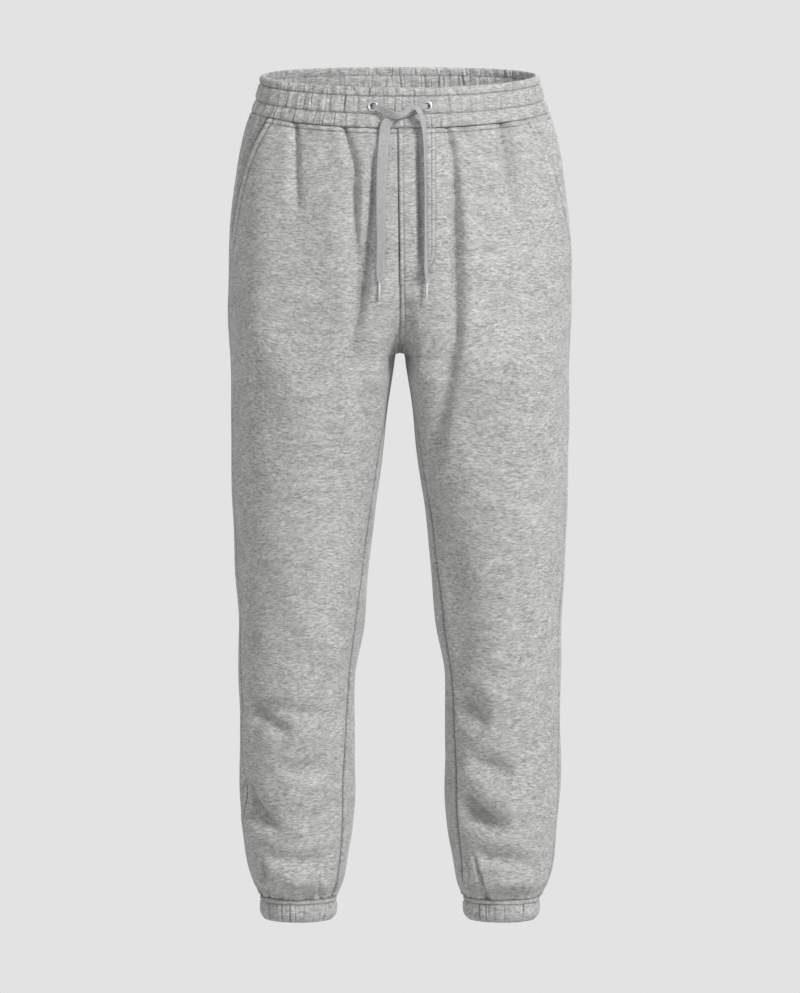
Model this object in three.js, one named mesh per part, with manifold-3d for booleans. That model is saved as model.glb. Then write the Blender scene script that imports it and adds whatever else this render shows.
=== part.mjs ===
// Jogger sweatpants in brushed fleece, filled out as if worn, in millimetres.
// +Z is up and the front faces -Y. The origin is the middle of the waist, where a wearer holds them up.
// Left and right are the wearer's: the wearer's left is at +X.
import * as THREE from "three";
import { mergeVertices } from "three/addons/utils/BufferGeometryUtils.js";
import Module from "manifold-3d";

const { PI, abs, acos, cos, exp, hypot, max, sin, sign } = Math;
const { degToRad, lerp, smoothstep } = THREE.MathUtils;

// Driving dimensions
const CLOTH = 2; // thickness of one layer of fleece
const BAND = 3.6; // two layers over elastic, in the waistband and the cuffs
const SEAM = 0.3; // gap between pieces that are sewn together
const WAIST_SEAM = -18; // height of the waistband's seam at the sides
const WAIST_TOP = 25; // height of the waistband's top edge at the sides
const CUFF_SEAM = -966;
const TILT_ENDS = -230; // below this height the rings are level
const POCKET_END = -184; // where the slanted pocket mouth meets the side seam
const POCKET_CORNER = -176; // the lowest row of the pocket's facing
const POCKET_STEP = 1.2; // how far the facing lies under the pocket mouth
const GATHER = 1; // half the height of the small gathers in the waistband and cuffs
const BAND_WAVES = 56;
const CUFF_WAVES = 18;
const ANKLE_WAVES = 8; // soft folds where a leg is gathered into its cuff
const ANKLE_FOLD = 2.2;
const ANKLE_TOP = -922;
const COLUMNS_A_WAVE = 4;
const FRONT_COLUMNS = 14;
const BACK_COLUMNS = 11;
const FACING_COLUMNS = 3;

// One ring of cloth for each height: the outer and inner sides of a leg's tube, its middle from
// front to back, and how far the cloth stands before and behind that middle. Where inner is below
// zero the two tubes run into each other and are cut at the centre plane. inseam and side are
// the degrees by which the seams are turned towards the front.
const RINGS = [
  { z: -18, outer: 177, inner: -177, middle: 0, front: 99, back: 104, inseam: 0, side: 11 },
  { z: -34, outer: 183, inner: -183, middle: 0, front: 104, back: 109, inseam: 0, side: 11 },
  { z: -58, outer: 189, inner: -189, middle: 0, front: 107.5, back: 114, inseam: 0, side: 11 },
  { z: -94, outer: 196, inner: -196, middle: 0, front: 111, back: 121, inseam: 0, side: 11 },
  { z: -130, outer: 201, inner: -201, middle: 0, front: 113.5, back: 127, inseam: 0, side: 11 },
  { z: -165, outer: 204, inner: -184, middle: 1, front: 115, back: 131, inseam: 0, side: 11 },
  { z: -201, outer: 205.5, inner: -159, middle: 2, front: 116.5, back: 132, inseam: 0, side: 11 },
  { z: -237, outer: 205, inner: -112, middle: 3, front: 117, back: 130, inseam: 0, side: 11 },
  { z: -265, outer: 205, inner: -66, middle: 5, front: 117.5, back: 125, inseam: 0, side: 11 },
  { z: -285, outer: 204.5, inner: -33, middle: 7, front: 117.5, back: 118, inseam: 0, side: 11 },
  { z: -298, outer: 204.3, inner: -11, middle: 8, front: 117, back: 112, inseam: 0, side: 11 },
  { z: -306, outer: 204, inner: 0, middle: 8, front: 116.5, back: 108.5, inseam: 0, side: 11 },
  { z: -310, outer: 204, inner: 5, middle: 8, front: 116, back: 107, inseam: 0, side: 11 },
  { z: -325, outer: 203.7, inner: 7.5, middle: 8, front: 115, back: 104, inseam: 0, side: 11 },
  { z: -357, outer: 203, inner: 12.3, middle: 7, front: 110, back: 99, inseam: 4, side: 12 },
  { z: -411, outer: 202.3, inner: 19, middle: 6, front: 102.5, back: 94.5, inseam: 13, side: 13 },
  { z: -484, outer: 201.3, inner: 28.2, middle: 5, front: 94, back: 89, inseam: 19, side: 15 },
  { z: -556, outer: 199.1, inner: 36.1, middle: 5, front: 86.5, back: 84, inseam: 23, side: 16 },
  { z: -628, outer: 194, inner: 42.8, middle: 7, front: 80, back: 79.5, inseam: 25, side: 17 },
  { z: -701, outer: 194.3, inner: 53.6, middle: 11, front: 75.5, back: 76, inseam: 27, side: 17 },
  { z: -756, outer: 193.6, inner: 54.5, middle: 14, front: 73.5, back: 75.5, inseam: 29, side: 17 },
  { z: -829, outer: 193.8, inner: 54.3, middle: 19, front: 71.5, back: 75, inseam: 32, side: 17 },
  { z: -884, outer: 190.3, inner: 57.4, middle: 23, front: 69, back: 71, inseam: 30, side: 16 },
  { z: -920, outer: 186.8, inner: 62.9, middle: 25, front: 65, back: 66.5, inseam: 27, side: 15 },
  { z: -938, outer: 182.6, inner: 66.5, middle: 26, front: 61, back: 62, inseam: 25, side: 15 },
  { z: -952, outer: 176.5, inner: 71.3, middle: 27, front: 54.5, back: 55.5, inseam: 23, side: 15 },
  { z: -960, outer: 171.5, inner: 75.2, middle: 28, front: 47.5, back: 48.5, inseam: 22, side: 15 },
  { z: -966, outer: 169.5, inner: 76.9, middle: 28, front: 43.5, back: 44.5, inseam: 22, side: 15 },
];

// Heights of the panels' rows, closer together at the waist, the crotch and the ankles
const ROWS = [
  -18, -32, -54, -82, -114, -148, -176, -184, -214, -242, -266, -284, -297, -304, -306, -311, -325, -352,
  -390, -432, -476, -520, -565, -610, -655, -695, -727, -757, -787, -817, -845, -872, -898, -920, -940, -956,
  -966,
];

// Degrees from the side to the slanted mouth of the pocket
const POCKET = [
  { z: -18, turn: 28.5 },
  { z: -30, turn: 27.2 },
  { z: -66, turn: 22.6 },
  { z: -98, turn: 19.4 },
  { z: -139, turn: 15.4 },
  { z: POCKET_END, turn: 11 },
];

// The waistband's ring from its top (share 0) to its seam (share 1). puff is how far its three
// stitched channels swell.
const BAND_RINGS = [
  { share: 0, half: 164.5, front: 92.5, back: 96.5, puff: -0.4 },
  { share: 0.1, half: 165.3, front: 93, back: 97, puff: 1.5 },
  { share: 0.22, half: 166.2, front: 93.5, back: 97.5, puff: 0 },
  { share: 0.34, half: 167.3, front: 94.4, back: 98.4, puff: 2.2 },
  { share: 0.56, half: 169.7, front: 95.9, back: 100.2, puff: 2.2 },
  { share: 0.66, half: 171, front: 96.5, back: 101, puff: 0 },
  { share: 0.84, half: 174, front: 97.9, back: 102.6, puff: 1.3 },
  { share: 1, half: 177, front: 99, back: 104, puff: 0 },
];

// The cuff's outer profile, from its seam to its hem
const CUFF_ROWS = [
  { z: -966.15, out: -0.2 },
  { z: -968.5, out: 1.2 },
  { z: -971.5, out: 0 },
  { z: -976, out: 1.6 },
  { z: -987, out: 1.8 },
  { z: -992, out: 0.6 },
  { z: -994, out: -1.8 },
];

// Soft folds and tucks, each along a bowed line from x0, z0 to x1, z1. x is counted outwards from
// the centre on either side. bow pushes the middle of the line outwards or up, deep is negative for
// a ridge.
const FOLDS = [
  { side: -1, face: "front", x0: 120, z0: 12, x1: 119, z1: -138, bow: 0, wide: 12, deep: 5 },
  { side: -1, face: "front", x0: 70, z0: 6, x1: 41, z1: -262, bow: -10, wide: 13, deep: 7 },
  { side: -1, face: "front", x0: 158, z0: -45, x1: 176, z1: -180, bow: 0, wide: 14, deep: 3 },
  { side: -1, face: "front", x0: 128, z0: -595, x1: 66, z1: -700, bow: 0, wide: 18, deep: -4 },
  { side: -1, face: "front", x0: 186, z0: -712, x1: 96, z1: -760, bow: 2, wide: 14, deep: 5 },
  { side: -1, face: "front", x0: 192, z0: -745, x1: 128, z1: -884, bow: 19, wide: 15, deep: 8 },
  { side: -1, face: "front", x0: 172, z0: -908, x1: 74, z1: -922, bow: 10, wide: 12, deep: 4 },
  { side: 1, face: "front", x0: 46, z0: 0, x1: 76, z1: -330, bow: 9, wide: 13, deep: 7 },
  { side: 1, face: "front", x0: 78, z0: -280, x1: 48, z1: -430, bow: -4, wide: 15, deep: 6 },
  { side: 1, face: "front", x0: 116, z0: 12, x1: 136, z1: -145, bow: 0, wide: 13, deep: 4 },
  { side: 1, face: "front", x0: 70, z0: -682, x1: 116, z1: -756, bow: 3, wide: 14, deep: 4 },
  { side: 1, face: "front", x0: 56, z0: -770, x1: 138, z1: -872, bow: -13, wide: 15, deep: 8 },
  { side: 1, face: "front", x0: 84, z0: -902, x1: 168, z1: -920, bow: 3, wide: 12, deep: 4 },
  { side: -1, face: "back", x0: 112, z0: 15, x1: 106, z1: -140, bow: 0, wide: 13, deep: 5 },
  { side: -1, face: "back", x0: 52, z0: 20, x1: 64, z1: -165, bow: 4, wide: 13, deep: 5 },
  { side: -1, face: "back", x0: 18, z0: -278, x1: 165, z1: -356, bow: -12, wide: 18, deep: 7 },
  { side: -1, face: "back", x0: 66, z0: -676, x1: 180, z1: -718, bow: -6, wide: 16, deep: 6 },
  { side: -1, face: "back", x0: 72, z0: -752, x1: 172, z1: -738, bow: -6, wide: 15, deep: 5 },
  { side: -1, face: "back", x0: 80, z0: -800, x1: 178, z1: -846, bow: 4, wide: 15, deep: 6 },
  { side: 1, face: "back", x0: 105, z0: 15, x1: 117, z1: -150, bow: 0, wide: 13, deep: 5 },
  { side: 1, face: "back", x0: 60, z0: 20, x1: 54, z1: -150, bow: -3, wide: 13, deep: 4 },
  { side: 1, face: "back", x0: 22, z0: -286, x1: 172, z1: -348, bow: -14, wide: 18, deep: 7 },
  { side: 1, face: "back", x0: 62, z0: -690, x1: 176, z1: -704, bow: -9, wide: 16, deep: 6 },
  { side: 1, face: "back", x0: 70, z0: -806, x1: 170, z1: -828, bow: -8, wide: 15, deep: 6 },
  { side: 1, face: "back", x0: 88, z0: -878, x1: 172, z1: -918, bow: 4, wide: 13, deep: 4 },
];

// The mock fly lies on the wearer's left front, with a rounded lower corner
const FLY = { wide: 37, top: -38.6, straight: -180, bottom: -217, thick: 1.4, rise: 0.4, columns: 4 };
const FLY_ROWS = 10; // rows of the front that the fly crosses
const FLY_REACH = 200; // far enough forward to cut all of it

// The eyelets and the drawstring's two free ends
const EYELET = { x: 31.5, z: -11.8, hole: 3.4, barrel: 3.95, flange: 6.4, depth: 2.2, segments: 20 };
const EYELET_CALM = 12; // the gathers die out this near to an eyelet
const EYELET_HOLE = { radius: 4.3, depth: 2.6, length: 9, segments: 16 };
const TAPE = { thick: 1.6, steps: 2 };
const AGLET = { radius: 1.5, length: 21, segments: 12 };

// Each end of the drawstring from its eyelet to its tip: places on the front, how far the middle of
// the tape stands off the cloth, its width, and the direction across it (to the wearer's left, out
// from the cloth, up).
const LEFT_EYELET_END = [
  { x: 31.5, z: -11.8, off: -1.6, width: 5, across: [0.1, 0, 1] },
  { x: 31.4, z: -11.8, off: 0.9, width: 5.2, across: [0, 0, 1] },
  { x: 28.9, z: -12.1, off: 2.8, width: 6, across: [-0.1, 0, 1] },
  { x: 23.6, z: -13.6, off: 3.1, width: 8, across: [-0.2, 0, 1] },
  { x: 16.4, z: -16.2, off: 3.2, width: 9, across: [-0.3, 0, 0.95] },
  { x: 7, z: -19.6, off: 3.3, width: 9.4, across: [-0.34, 0, 0.94] },
  { x: -2.3, z: -23, off: 3.4, width: 9.6, across: [-0.4, 0, 0.9] },
  { x: -9.4, z: -27, off: 3.2, width: 9.8, across: [-0.7, 0, 0.7] },
  { x: -14.2, z: -34, off: 3, width: 10, across: [-0.92, 0, 0.38] },
  { x: -16.4, z: -44, off: 2.6, width: 10.4, across: [-1, 0, 0.12] },
  { x: -18.8, z: -74, off: 2, width: 10.4, across: [-1, 0, 0.05] },
  { x: -21.1, z: -121, off: 2.1, width: 10, across: [-1, -0.1, 0.05] },
  { x: -22.5, z: -168, off: 2.2, width: 10, across: [-1, -0.2, 0] },
  { x: -23.4, z: -203, off: 2.3, width: 9.6, across: [-1, -0.2, 0] },
  { x: -24, z: -214, off: 2.3, width: 7, across: [-1, -0.1, 0] },
  { x: -24.2, z: -218, off: 2.4, width: 3.2, across: [-1, 0, 0] },
];
const RIGHT_EYELET_END = [
  { x: -31.5, z: -11.8, off: -1.6, width: 5, across: [0.2, 0, 1] },
  { x: -31.4, z: -11.8, off: 0.9, width: 5.2, across: [0.2, 0, 1] },
  { x: -28.7, z: -12.4, off: 3, width: 6.5, across: [0.3, 0, 1] },
  { x: -23.4, z: -14.8, off: 4.4, width: 9, across: [0.35, 0, 0.94] },
  { x: -16.4, z: -18.3, off: 6.6, width: 10, across: [0.35, 0, 0.94] },
  { x: -8.2, z: -21.8, off: 8.6, width: 10, across: [0.3, -0.35, 0.85] },
  { x: 0, z: -23.6, off: 10.4, width: 10, across: [0.1, -0.9, 0.4] },
  { x: 7, z: -19.8, off: 10.6, width: 10, across: [-0.1, -0.98, 0.1] },
  { x: 12.9, z: -13.6, off: 10, width: 10, across: [0, -1, 0] },
  { x: 17.6, z: -11.2, off: 9.9, width: 10, across: [0, -1, 0] },
  { x: 21.7, z: -14.2, off: 10, width: 10, across: [0.1, -1, 0] },
  { x: 25.2, z: -22.4, off: 9.6, width: 10, across: [0.2, -1, 0] },
  { x: 27.3, z: -36.6, off: 8.8, width: 10, across: [0.3, -0.95, 0] },
  { x: 28.5, z: -62.5, off: 8.2, width: 10, across: [0.33, -0.94, 0] },
  { x: 29.3, z: -110, off: 7.9, width: 10, across: [0.35, -0.94, 0] },
  { x: 29.9, z: -163, off: 7.8, width: 10, across: [0.38, -0.92, 0] },
  { x: 30.5, z: -202, off: 7.4, width: 9.6, across: [0.4, -0.9, 0] },
  { x: 31.2, z: -214, off: 6.2, width: 7, across: [0.4, -0.9, 0] },
  { x: 31.4, z: -218, off: 5.6, width: 3.2, across: [0.4, -0.9, 0] },
];

// A smooth curve through one column of a table that never overshoots its rows.
function column(table, key, name) {
  const at = table.map((row) => row[key]);
  const value = table.map((row) => row[name]);
  const slope = at.slice(1).map((next, i) => (value[i + 1] - value[i]) / (next - at[i]));
  const tangent = at.map((_, i) => {
    const before = slope[i - 1] ?? slope[i];
    const after = slope[i] ?? slope[i - 1];
    return before * after <= 0 ? 0 : (2 * before * after) / (before + after);
  });
  const downwards = at[1] < at[0];
  return (place) => {
    let i = 0;
    while (i < at.length - 2 && (downwards ? place < at[i + 1] : place > at[i + 1])) i += 1;
    const step = at[i + 1] - at[i];
    const t = THREE.MathUtils.clamp((place - at[i]) / step, 0, 1);
    return (
      (1 + 2 * t) * (1 - t) ** 2 * value[i] +
      t * (1 - t) ** 2 * step * tangent[i] +
      t * t * (3 - 2 * t) * value[i + 1] +
      t * t * (t - 1) * step * tangent[i + 1]
    );
  };
}

function columns(table, key) {
  const names = Object.keys(table[0]).filter((name) => name !== key);
  const curves = names.map((name) => [name, column(table, key, name)]);
  return (place) => Object.fromEntries(curves.map(([name, curve]) => [name, curve(place)]));
}

const readRing = columns(RINGS, "z");
const readPocket = columns(POCKET, "z");
const readBand = columns(BAND_RINGS, "share");

// A leg's ring at a height, with its centre and half its width.
function ringAt(height) {
  const ring = readRing(height);
  return { ...ring, centre: (ring.outer + ring.inner) / 2, half: (ring.outer - ring.inner) / 2 };
}

// The waistband's ring at a share of the way down.
function bandAt(share) {
  return { ...readBand(share), centre: 0, middle: 0 };
}

function depthOf(ring, angle) {
  return sin(angle) > 0 ? ring.front : ring.back;
}

// A ring's outward direction. Angle 0 is its inner side, a quarter turn its front, a half its outer side.
function normalOf(ring, angle) {
  return new THREE.Vector3(-cos(angle) / ring.half, -sin(angle) / depthOf(ring, angle), 0).normalize();
}

function onRing(ring, angle, z) {
  const x = ring.centre - ring.half * cos(angle);
  const y = ring.middle - depthOf(ring, angle) * sin(angle);
  return new THREE.Vector3(x, y, z);
}

// How fast a ring's point moves as the angle turns.
function speedOf(ring, angle) {
  return hypot(ring.half * sin(angle), depthOf(ring, angle) * cos(angle));
}

// Heights of the waistband's edges. tip is -1 at the front, 0 at the sides and 1 at the back.
function seamHeight(tip) {
  return WAIST_SEAM + 13.75 * tip - 5.75 * tip * tip;
}

function topHeight(tip) {
  return WAIST_TOP + 12.5 * tip - 2.5 * tip * tip;
}

// How far the folds push the cloth in at a place on one side's front or back.
function foldDepth(side, tip, x, z) {
  return FOLDS.reduce((total, fold) => {
    const facing = fold.face === "front" ? -tip : tip;
    if (fold.side !== side || facing < -0.05) return total;
    const run = { x: fold.x1 - fold.x0, z: fold.z1 - fold.z0 };
    const length = hypot(run.x, run.z);
    const t = ((x - fold.x0) * run.x + (z - fold.z0) * run.z) / length ** 2;
    if (t <= 0 || t >= 1) return total;
    const across = ((z - fold.z0) * run.x - (x - fold.x0) * run.z) / length - fold.bow * 4 * t * (1 - t);
    const ends = (1 - (2 * t - 1) ** 4) ** 2;
    return total + fold.deep * exp(-((across / fold.wide) ** 2)) * ends * smoothstep(facing, -0.05, 0.35);
  }, 0);
}

// A place on the trousers below the waistband, out from the cloth's outer face.
function bodyPoint(side, angle, height, out = 0) {
  const ring = ringAt(height);
  const tip = -sin(angle);
  const z = height + (seamHeight(tip) - WAIST_SEAM) * smoothstep(height, TILT_ENDS, WAIST_SEAM);
  const point = onRing(ring, angle, z);
  const ankle = ANKLE_FOLD * smoothstep(-height, -ANKLE_TOP, -CUFF_SEAM) * cos(ANKLE_WAVES * angle + side);
  const push = out + ankle - foldDepth(side, tip, point.x, z);
  point.addScaledVector(normalOf(ring, angle), push);
  point.x = max(point.x, SEAM / 2) * side;
  return point;
}

// The angle of a seam on a leg's ring.
function riseAngle(height) {
  const ring = ringAt(height);
  return ring.inner < 0 ? acos(ring.centre / ring.half) : degToRad(ring.inseam);
}

function sideAngle(height) {
  return PI - degToRad(ringAt(height).side);
}

function pocketAngle(height) {
  return height > POCKET_END ? PI - degToRad(readPocket(height).turn) : sideAngle(height);
}

// A closed geometry, turned so that its faces point out.
function closed(points, index) {
  const volume = new THREE.Vector3();
  let total = 0;
  for (let i = 0; i < index.length; i += 3) {
    volume.crossVectors(points[index[i]], points[index[i + 1]]);
    total += volume.dot(points[index[i + 2]]);
  }
  const geometry = new THREE.BufferGeometry().setFromPoints(points);
  geometry.setIndex(total < 0 ? index.reverse() : index);
  geometry.computeVertexNormals();
  return geometry;
}

// The triangles of a wall between an outer and an inner grid of points. A round wall's rows join
// end to end, and its two grids may have different numbers of rows.
function wall(outer, inner, round = false) {
  const across = outer[0].length;
  const first = outer.length * across;
  const out = (i, j) => i * across + (j % across);
  const inn = (i, j) => first + out(i, j);
  const index = [];
  const quad = (a, b, c, d) => index.push(a, b, c, a, c, d);
  const spans = round ? across : across - 1;
  const lastOut = outer.length - 1;
  const lastInn = inner.length - 1;
  for (let j = 0; j < spans; j += 1) {
    for (let i = 0; i < lastOut; i += 1) quad(out(i, j), out(i + 1, j), out(i + 1, j + 1), out(i, j + 1));
    for (let i = 0; i < lastInn; i += 1) quad(inn(i, j), inn(i, j + 1), inn(i + 1, j + 1), inn(i + 1, j));
    quad(out(0, j), out(0, j + 1), inn(0, j + 1), inn(0, j));
    quad(out(lastOut, j), inn(lastInn, j), inn(lastInn, j + 1), out(lastOut, j + 1));
  }
  if (!round) {
    const last = across - 1;
    for (let i = 0; i < lastOut; i += 1) {
      quad(out(i, 0), inn(i, 0), inn(i + 1, 0), out(i + 1, 0));
      quad(out(i, last), out(i + 1, last), inn(i + 1, last), inn(i, last));
    }
  }
  return closed([...outer.flat(), ...inner.flat()], index);
}

// A grid of points on the trousers between two seams. out moves the whole grid off the outer face,
// and sink is how far it lies lower at its first seam.
function panelGrid(side, heights, from, to, count, out = 0, sink = 0) {
  return heights.map((height) => {
    const ring = ringAt(height);
    const start = from(height) + SEAM / 2 / speedOf(ring, from(height));
    const end = to(height) - SEAM / 2 / speedOf(ring, to(height));
    return Array.from({ length: count + 1 }, (_, j) => {
      const share = j / count;
      const point = bodyPoint(side, lerp(start, end, share), height, out - sink * (1 - share));
      if (height === WAIST_SEAM) point.z -= SEAM / 2;
      if (height === CUFF_SEAM) point.z += SEAM / 2;
      return point;
    });
  });
}

// A cut piece of the trousers between two seams, as a wall that follows their rows.
function panel(side, heights, from, to, count, sink = 0) {
  const outer = panelGrid(side, heights, from, to, count, 0, sink);
  return wall(outer, panelGrid(side, heights, from, to, count, -CLOTH, sink));
}

// Angles that cut a whole ring into equal lengths.
function evenAngles(ring, count) {
  const fine = 3600;
  const lengths = [0];
  for (let i = 0; i < fine; i += 1) lengths.push(lengths[i] + speedOf(ring, (2 * PI * (i + 0.5)) / fine));
  let i = 0;
  return Array.from({ length: count }, (_, j) => {
    while (lengths[i + 1] <= (lengths[fine] * j) / count) i += 1;
    return (2 * PI * i) / fine;
  });
}

// Uneven small gathers round a ring, at a share of the way round it.
function gather(waves, share, shift) {
  const turn = 2 * PI * share;
  return GATHER * (0.75 + 0.25 * cos(5 * turn + shift)) * cos(waves * turn + 0.8 * sin(7 * turn + shift));
}

// A place on the waistband, out from its swelling outer face, without the gathers.
function bandPoint(angle, share, out = 0) {
  const ring = bandAt(share);
  const tip = -sin(angle);
  const point = onRing(ring, angle, lerp(topHeight(tip), seamHeight(tip), share));
  return point.addScaledVector(normalOf(ring, angle), ring.puff + out);
}

function waistband() {
  const angles = evenAngles(bandAt(0.5), BAND_WAVES * COLUMNS_A_WAVE);
  // The cloth is flat round the eyelets.
  const flat = (point) => {
    const near = hypot(abs(point.x) - EYELET.x, point.z - EYELET.z);
    return point.y < 0 ? 1 - exp(-((near / EYELET_CALM) ** 4)) : 1;
  };
  const row = (share, out, shift, drop) =>
    angles.map((angle, j) => {
      const ripple = gather(BAND_WAVES, j / angles.length, shift) * flat(bandPoint(angle, share));
      const point = bandPoint(angle, share, out + ripple);
      point.z += drop;
      return point;
    });
  const drops = BAND_RINGS.map((_, i) => (i === BAND_RINGS.length - 1 ? SEAM / 2 : 0));
  const outer = BAND_RINGS.map(({ share }, i) => row(share, 0, i, drops[i]));
  const inner = [row(0, 0.4 - BAND, 0, 0), row(1, -BAND, BAND_RINGS.length - 1, SEAM / 2)];
  return wall(outer, inner, true);
}

function cuff(side) {
  const ring = { ...ringAt(CUFF_SEAM) };
  const angles = evenAngles(ring, CUFF_WAVES * COLUMNS_A_WAVE);
  const row = (z, out, shift) =>
    angles.map((angle, j) => {
      const point = onRing(ring, angle, z);
      const ripple = gather(CUFF_WAVES, j / angles.length, shift);
      point.addScaledVector(normalOf(ring, angle), out + ripple);
      point.x *= side;
      return point;
    });
  const outer = CUFF_ROWS.map(({ z, out }, i) => row(z, out, side + i / 3));
  const last = CUFF_ROWS.length - 1;
  const inner = [row(CUFF_ROWS[0].z, -BAND, side), row(CUFF_ROWS[last].z, -BAND, side + last / 3)];
  return wall(outer, inner, true);
}

// The place on the front at x and z, and the direction straight out from it there.
function frontPlace(x, z, out) {
  const angleOn = (ring, from) => acos(THREE.MathUtils.clamp((ring.centre - from) / ring.half, -1, 1));
  let share = 0.5;
  let height = z;
  for (let i = 0; i < 12; i += 1) {
    const tip = -sin(angleOn(bandAt(share), x));
    share = THREE.MathUtils.clamp((topHeight(tip) - z) / (topHeight(tip) - seamHeight(tip)), 0, 1);
    const tilt = seamHeight(-sin(angleOn(ringAt(height), abs(x)))) - WAIST_SEAM;
    height = z - tilt * smoothstep(height, TILT_ENDS, WAIST_SEAM);
  }
  if (share < 1) {
    const ring = bandAt(share);
    const angle = angleOn(ring, x);
    return { point: bandPoint(angle, share, out), normal: normalOf(ring, angle) };
  }
  const side = sign(x) || 1;
  const ring = ringAt(height);
  const angle = angleOn(ring, abs(x));
  const normal = normalOf(ring, angle);
  normal.x *= side;
  return { point: bodyPoint(side, angle, height, out), normal };
}

// The fly is cut out of a layer that lies on the front's own points.
function fly() {
  const heights = ROWS.filter((height) => height >= ROWS[FLY_ROWS]);
  const grid = (out) =>
    panelGrid(1, heights, riseAngle, pocketAngle, FRONT_COLUMNS, out).map((row) => row.slice(0, FLY.columns + 1));
  const layer = wall(grid(FLY.rise + FLY.thick), grid(FLY.rise));
  const outline = new THREE.Shape();
  outline.moveTo(0, FLY.top);
  outline.lineTo(FLY.wide, FLY.top);
  outline.lineTo(FLY.wide, FLY.straight);
  outline.bezierCurveTo(FLY.wide, lerp(FLY.straight, FLY.bottom, 0.6), FLY.wide / 2, FLY.bottom, 0, FLY.bottom);
  const cutter = new THREE.ExtrudeGeometry(outline, { depth: FLY_REACH, bevelEnabled: false, curveSegments: 8 });
  return geometryOf(solidOf(layer).intersect(solidOf(cutter.rotateX(PI / 2))));
}

// Turns a piece made along +Y to stand straight out of the waistband at an eyelet.
function atEyelet(object, side) {
  const place = (right, up) => frontPlace(EYELET.x * side + right, EYELET.z + up, 0).point;
  const reach = EYELET.barrel;
  const upwards = place(0, reach).sub(place(0, -reach));
  const normal = place(reach, 0).sub(place(-reach, 0)).cross(upwards).normalize();
  object.position.copy(place(0, 0));
  object.quaternion.setFromUnitVectors(new THREE.Vector3(0, 1, 0), normal);
  return object;
}

function eyelet() {
  const { hole, barrel, flange, depth, segments } = EYELET;
  const profile = [
    [hole, -depth],
    [barrel, -depth],
    [barrel, SEAM],
    [flange, SEAM],
    [flange - 0.3, SEAM + 0.7],
    [hole + 0.9, SEAM + 1],
    [hole, SEAM + 0.5],
    [hole, -depth],
  ];
  const points = profile.map(([radius, height]) => new THREE.Vector2(radius, height));
  return new THREE.LatheGeometry(points, segments);
}

// One free end of the drawstring: a flat tape swept along its route.
function tape(route) {
  const places = route.map(({ x, z, off }) => frontPlace(x, z, off));
  const path = new THREE.CatmullRomCurve3(places.map(({ point }) => point));
  const steps = (route.length - 1) * TAPE.steps;
  const rings = Array.from({ length: steps + 1 }, (_, i) => {
    const t = i / steps;
    const k = Math.min(Math.floor(i / TAPE.steps), route.length - 2);
    const share = i / TAPE.steps - k;
    const along = path.getTangent(t);
    const normal = places[k].normal.clone().lerp(places[k + 1].normal, share);
    const [x, out, up] = route[k].across.map((value, n) => lerp(value, route[k + 1].across[n], share));
    const across = new THREE.Vector3(x, 0, up).addScaledVector(normal, out);
    across.addScaledVector(along, -across.dot(along)).normalize();
    const thin = new THREE.Vector3().crossVectors(along, across);
    const half = lerp(route[k].width, route[k + 1].width, share) / 2;
    const centre = path.getPoint(t);
    const corner = (u, v) =>
      centre
        .clone()
        .addScaledVector(across, u)
        .addScaledVector(thin, (v * TAPE.thick) / 2);
    const flat = half - TAPE.thick / 4;
    return [
      corner(half, 0.4),
      corner(flat, 1),
      corner(-flat, 1),
      corner(-half, 0.4),
      corner(-half, -0.4),
      corner(-flat, -1),
      corner(flat, -1),
      corner(half, -0.4),
    ];
  });
  const sides = rings[0].length;
  const index = [];
  for (let i = 0; i < steps; i += 1) {
    for (let j = 0; j < sides; j += 1) {
      const a = i * sides + j;
      const b = i * sides + ((j + 1) % sides);
      index.push(a, b, b + sides, a, b + sides, a + sides);
    }
  }
  const end = steps * sides;
  for (let j = 1; j < sides - 1; j += 1) index.push(0, j + 1, j, end, end + j, end + j + 1);
  return closed(rings.flat(), index);
}

// The tip of a free end, hanging on just below its tape.
function aglet(route) {
  const { x, z, off } = route[route.length - 1];
  const top = frontPlace(x, z, off).point;
  const geometry = new THREE.CylinderGeometry(AGLET.radius, AGLET.radius, AGLET.length, AGLET.segments);
  return geometry.rotateX(PI / 2).translate(top.x, top.y, top.z - SEAM - AGLET.length / 2);
}

const wasm = await Module();
wasm.setup();

// A solid for joining and cutting, from a closed geometry in the object's own frame.
function solidOf(geometry) {
  const bare = geometry.clone();
  bare.deleteAttribute("normal");
  bare.deleteAttribute("uv");
  const merged = mergeVertices(bare, 1e-4);
  const vertProperties = merged.attributes.position.array;
  const triVerts = new Uint32Array(merged.index.array);
  return new wasm.Manifold(new wasm.Mesh({ numProp: 3, vertProperties, triVerts }));
}

function geometryOf(solid) {
  const { vertProperties, triVerts } = solid.getMesh();
  const geometry = new THREE.BufferGeometry();
  geometry.setAttribute("position", new THREE.BufferAttribute(vertProperties, 3));
  geometry.setIndex(new THREE.BufferAttribute(triVerts, 1));
  geometry.computeVertexNormals();
  return geometry;
}

// The waistband with a blind hole under each eyelet.
function waistbandWithHoles() {
  return geometryOf(
    [-1, 1].reduce((band, side) => {
      const { radius, depth, length, segments } = EYELET_HOLE;
      const plug = new THREE.CylinderGeometry(radius, radius, length, segments);
      plug.translate(0, length / 2 - depth, 0);
      const place = atEyelet(new THREE.Object3D(), side);
      place.updateMatrix();
      return band.subtract(solidOf(plug.applyMatrix4(place.matrix)));
    }, solidOf(waistband())),
  );
}

const fleece = new THREE.MeshStandardMaterial({ color: 0xb4b4b2, roughness: 0.95, metalness: 0 });
const cord = new THREE.MeshStandardMaterial({ color: 0xb8b8b7, roughness: 0.85, metalness: 0 });
const metal = new THREE.MeshStandardMaterial({ color: 0xc4c4c2, roughness: 0.3, metalness: 1 });

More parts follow.
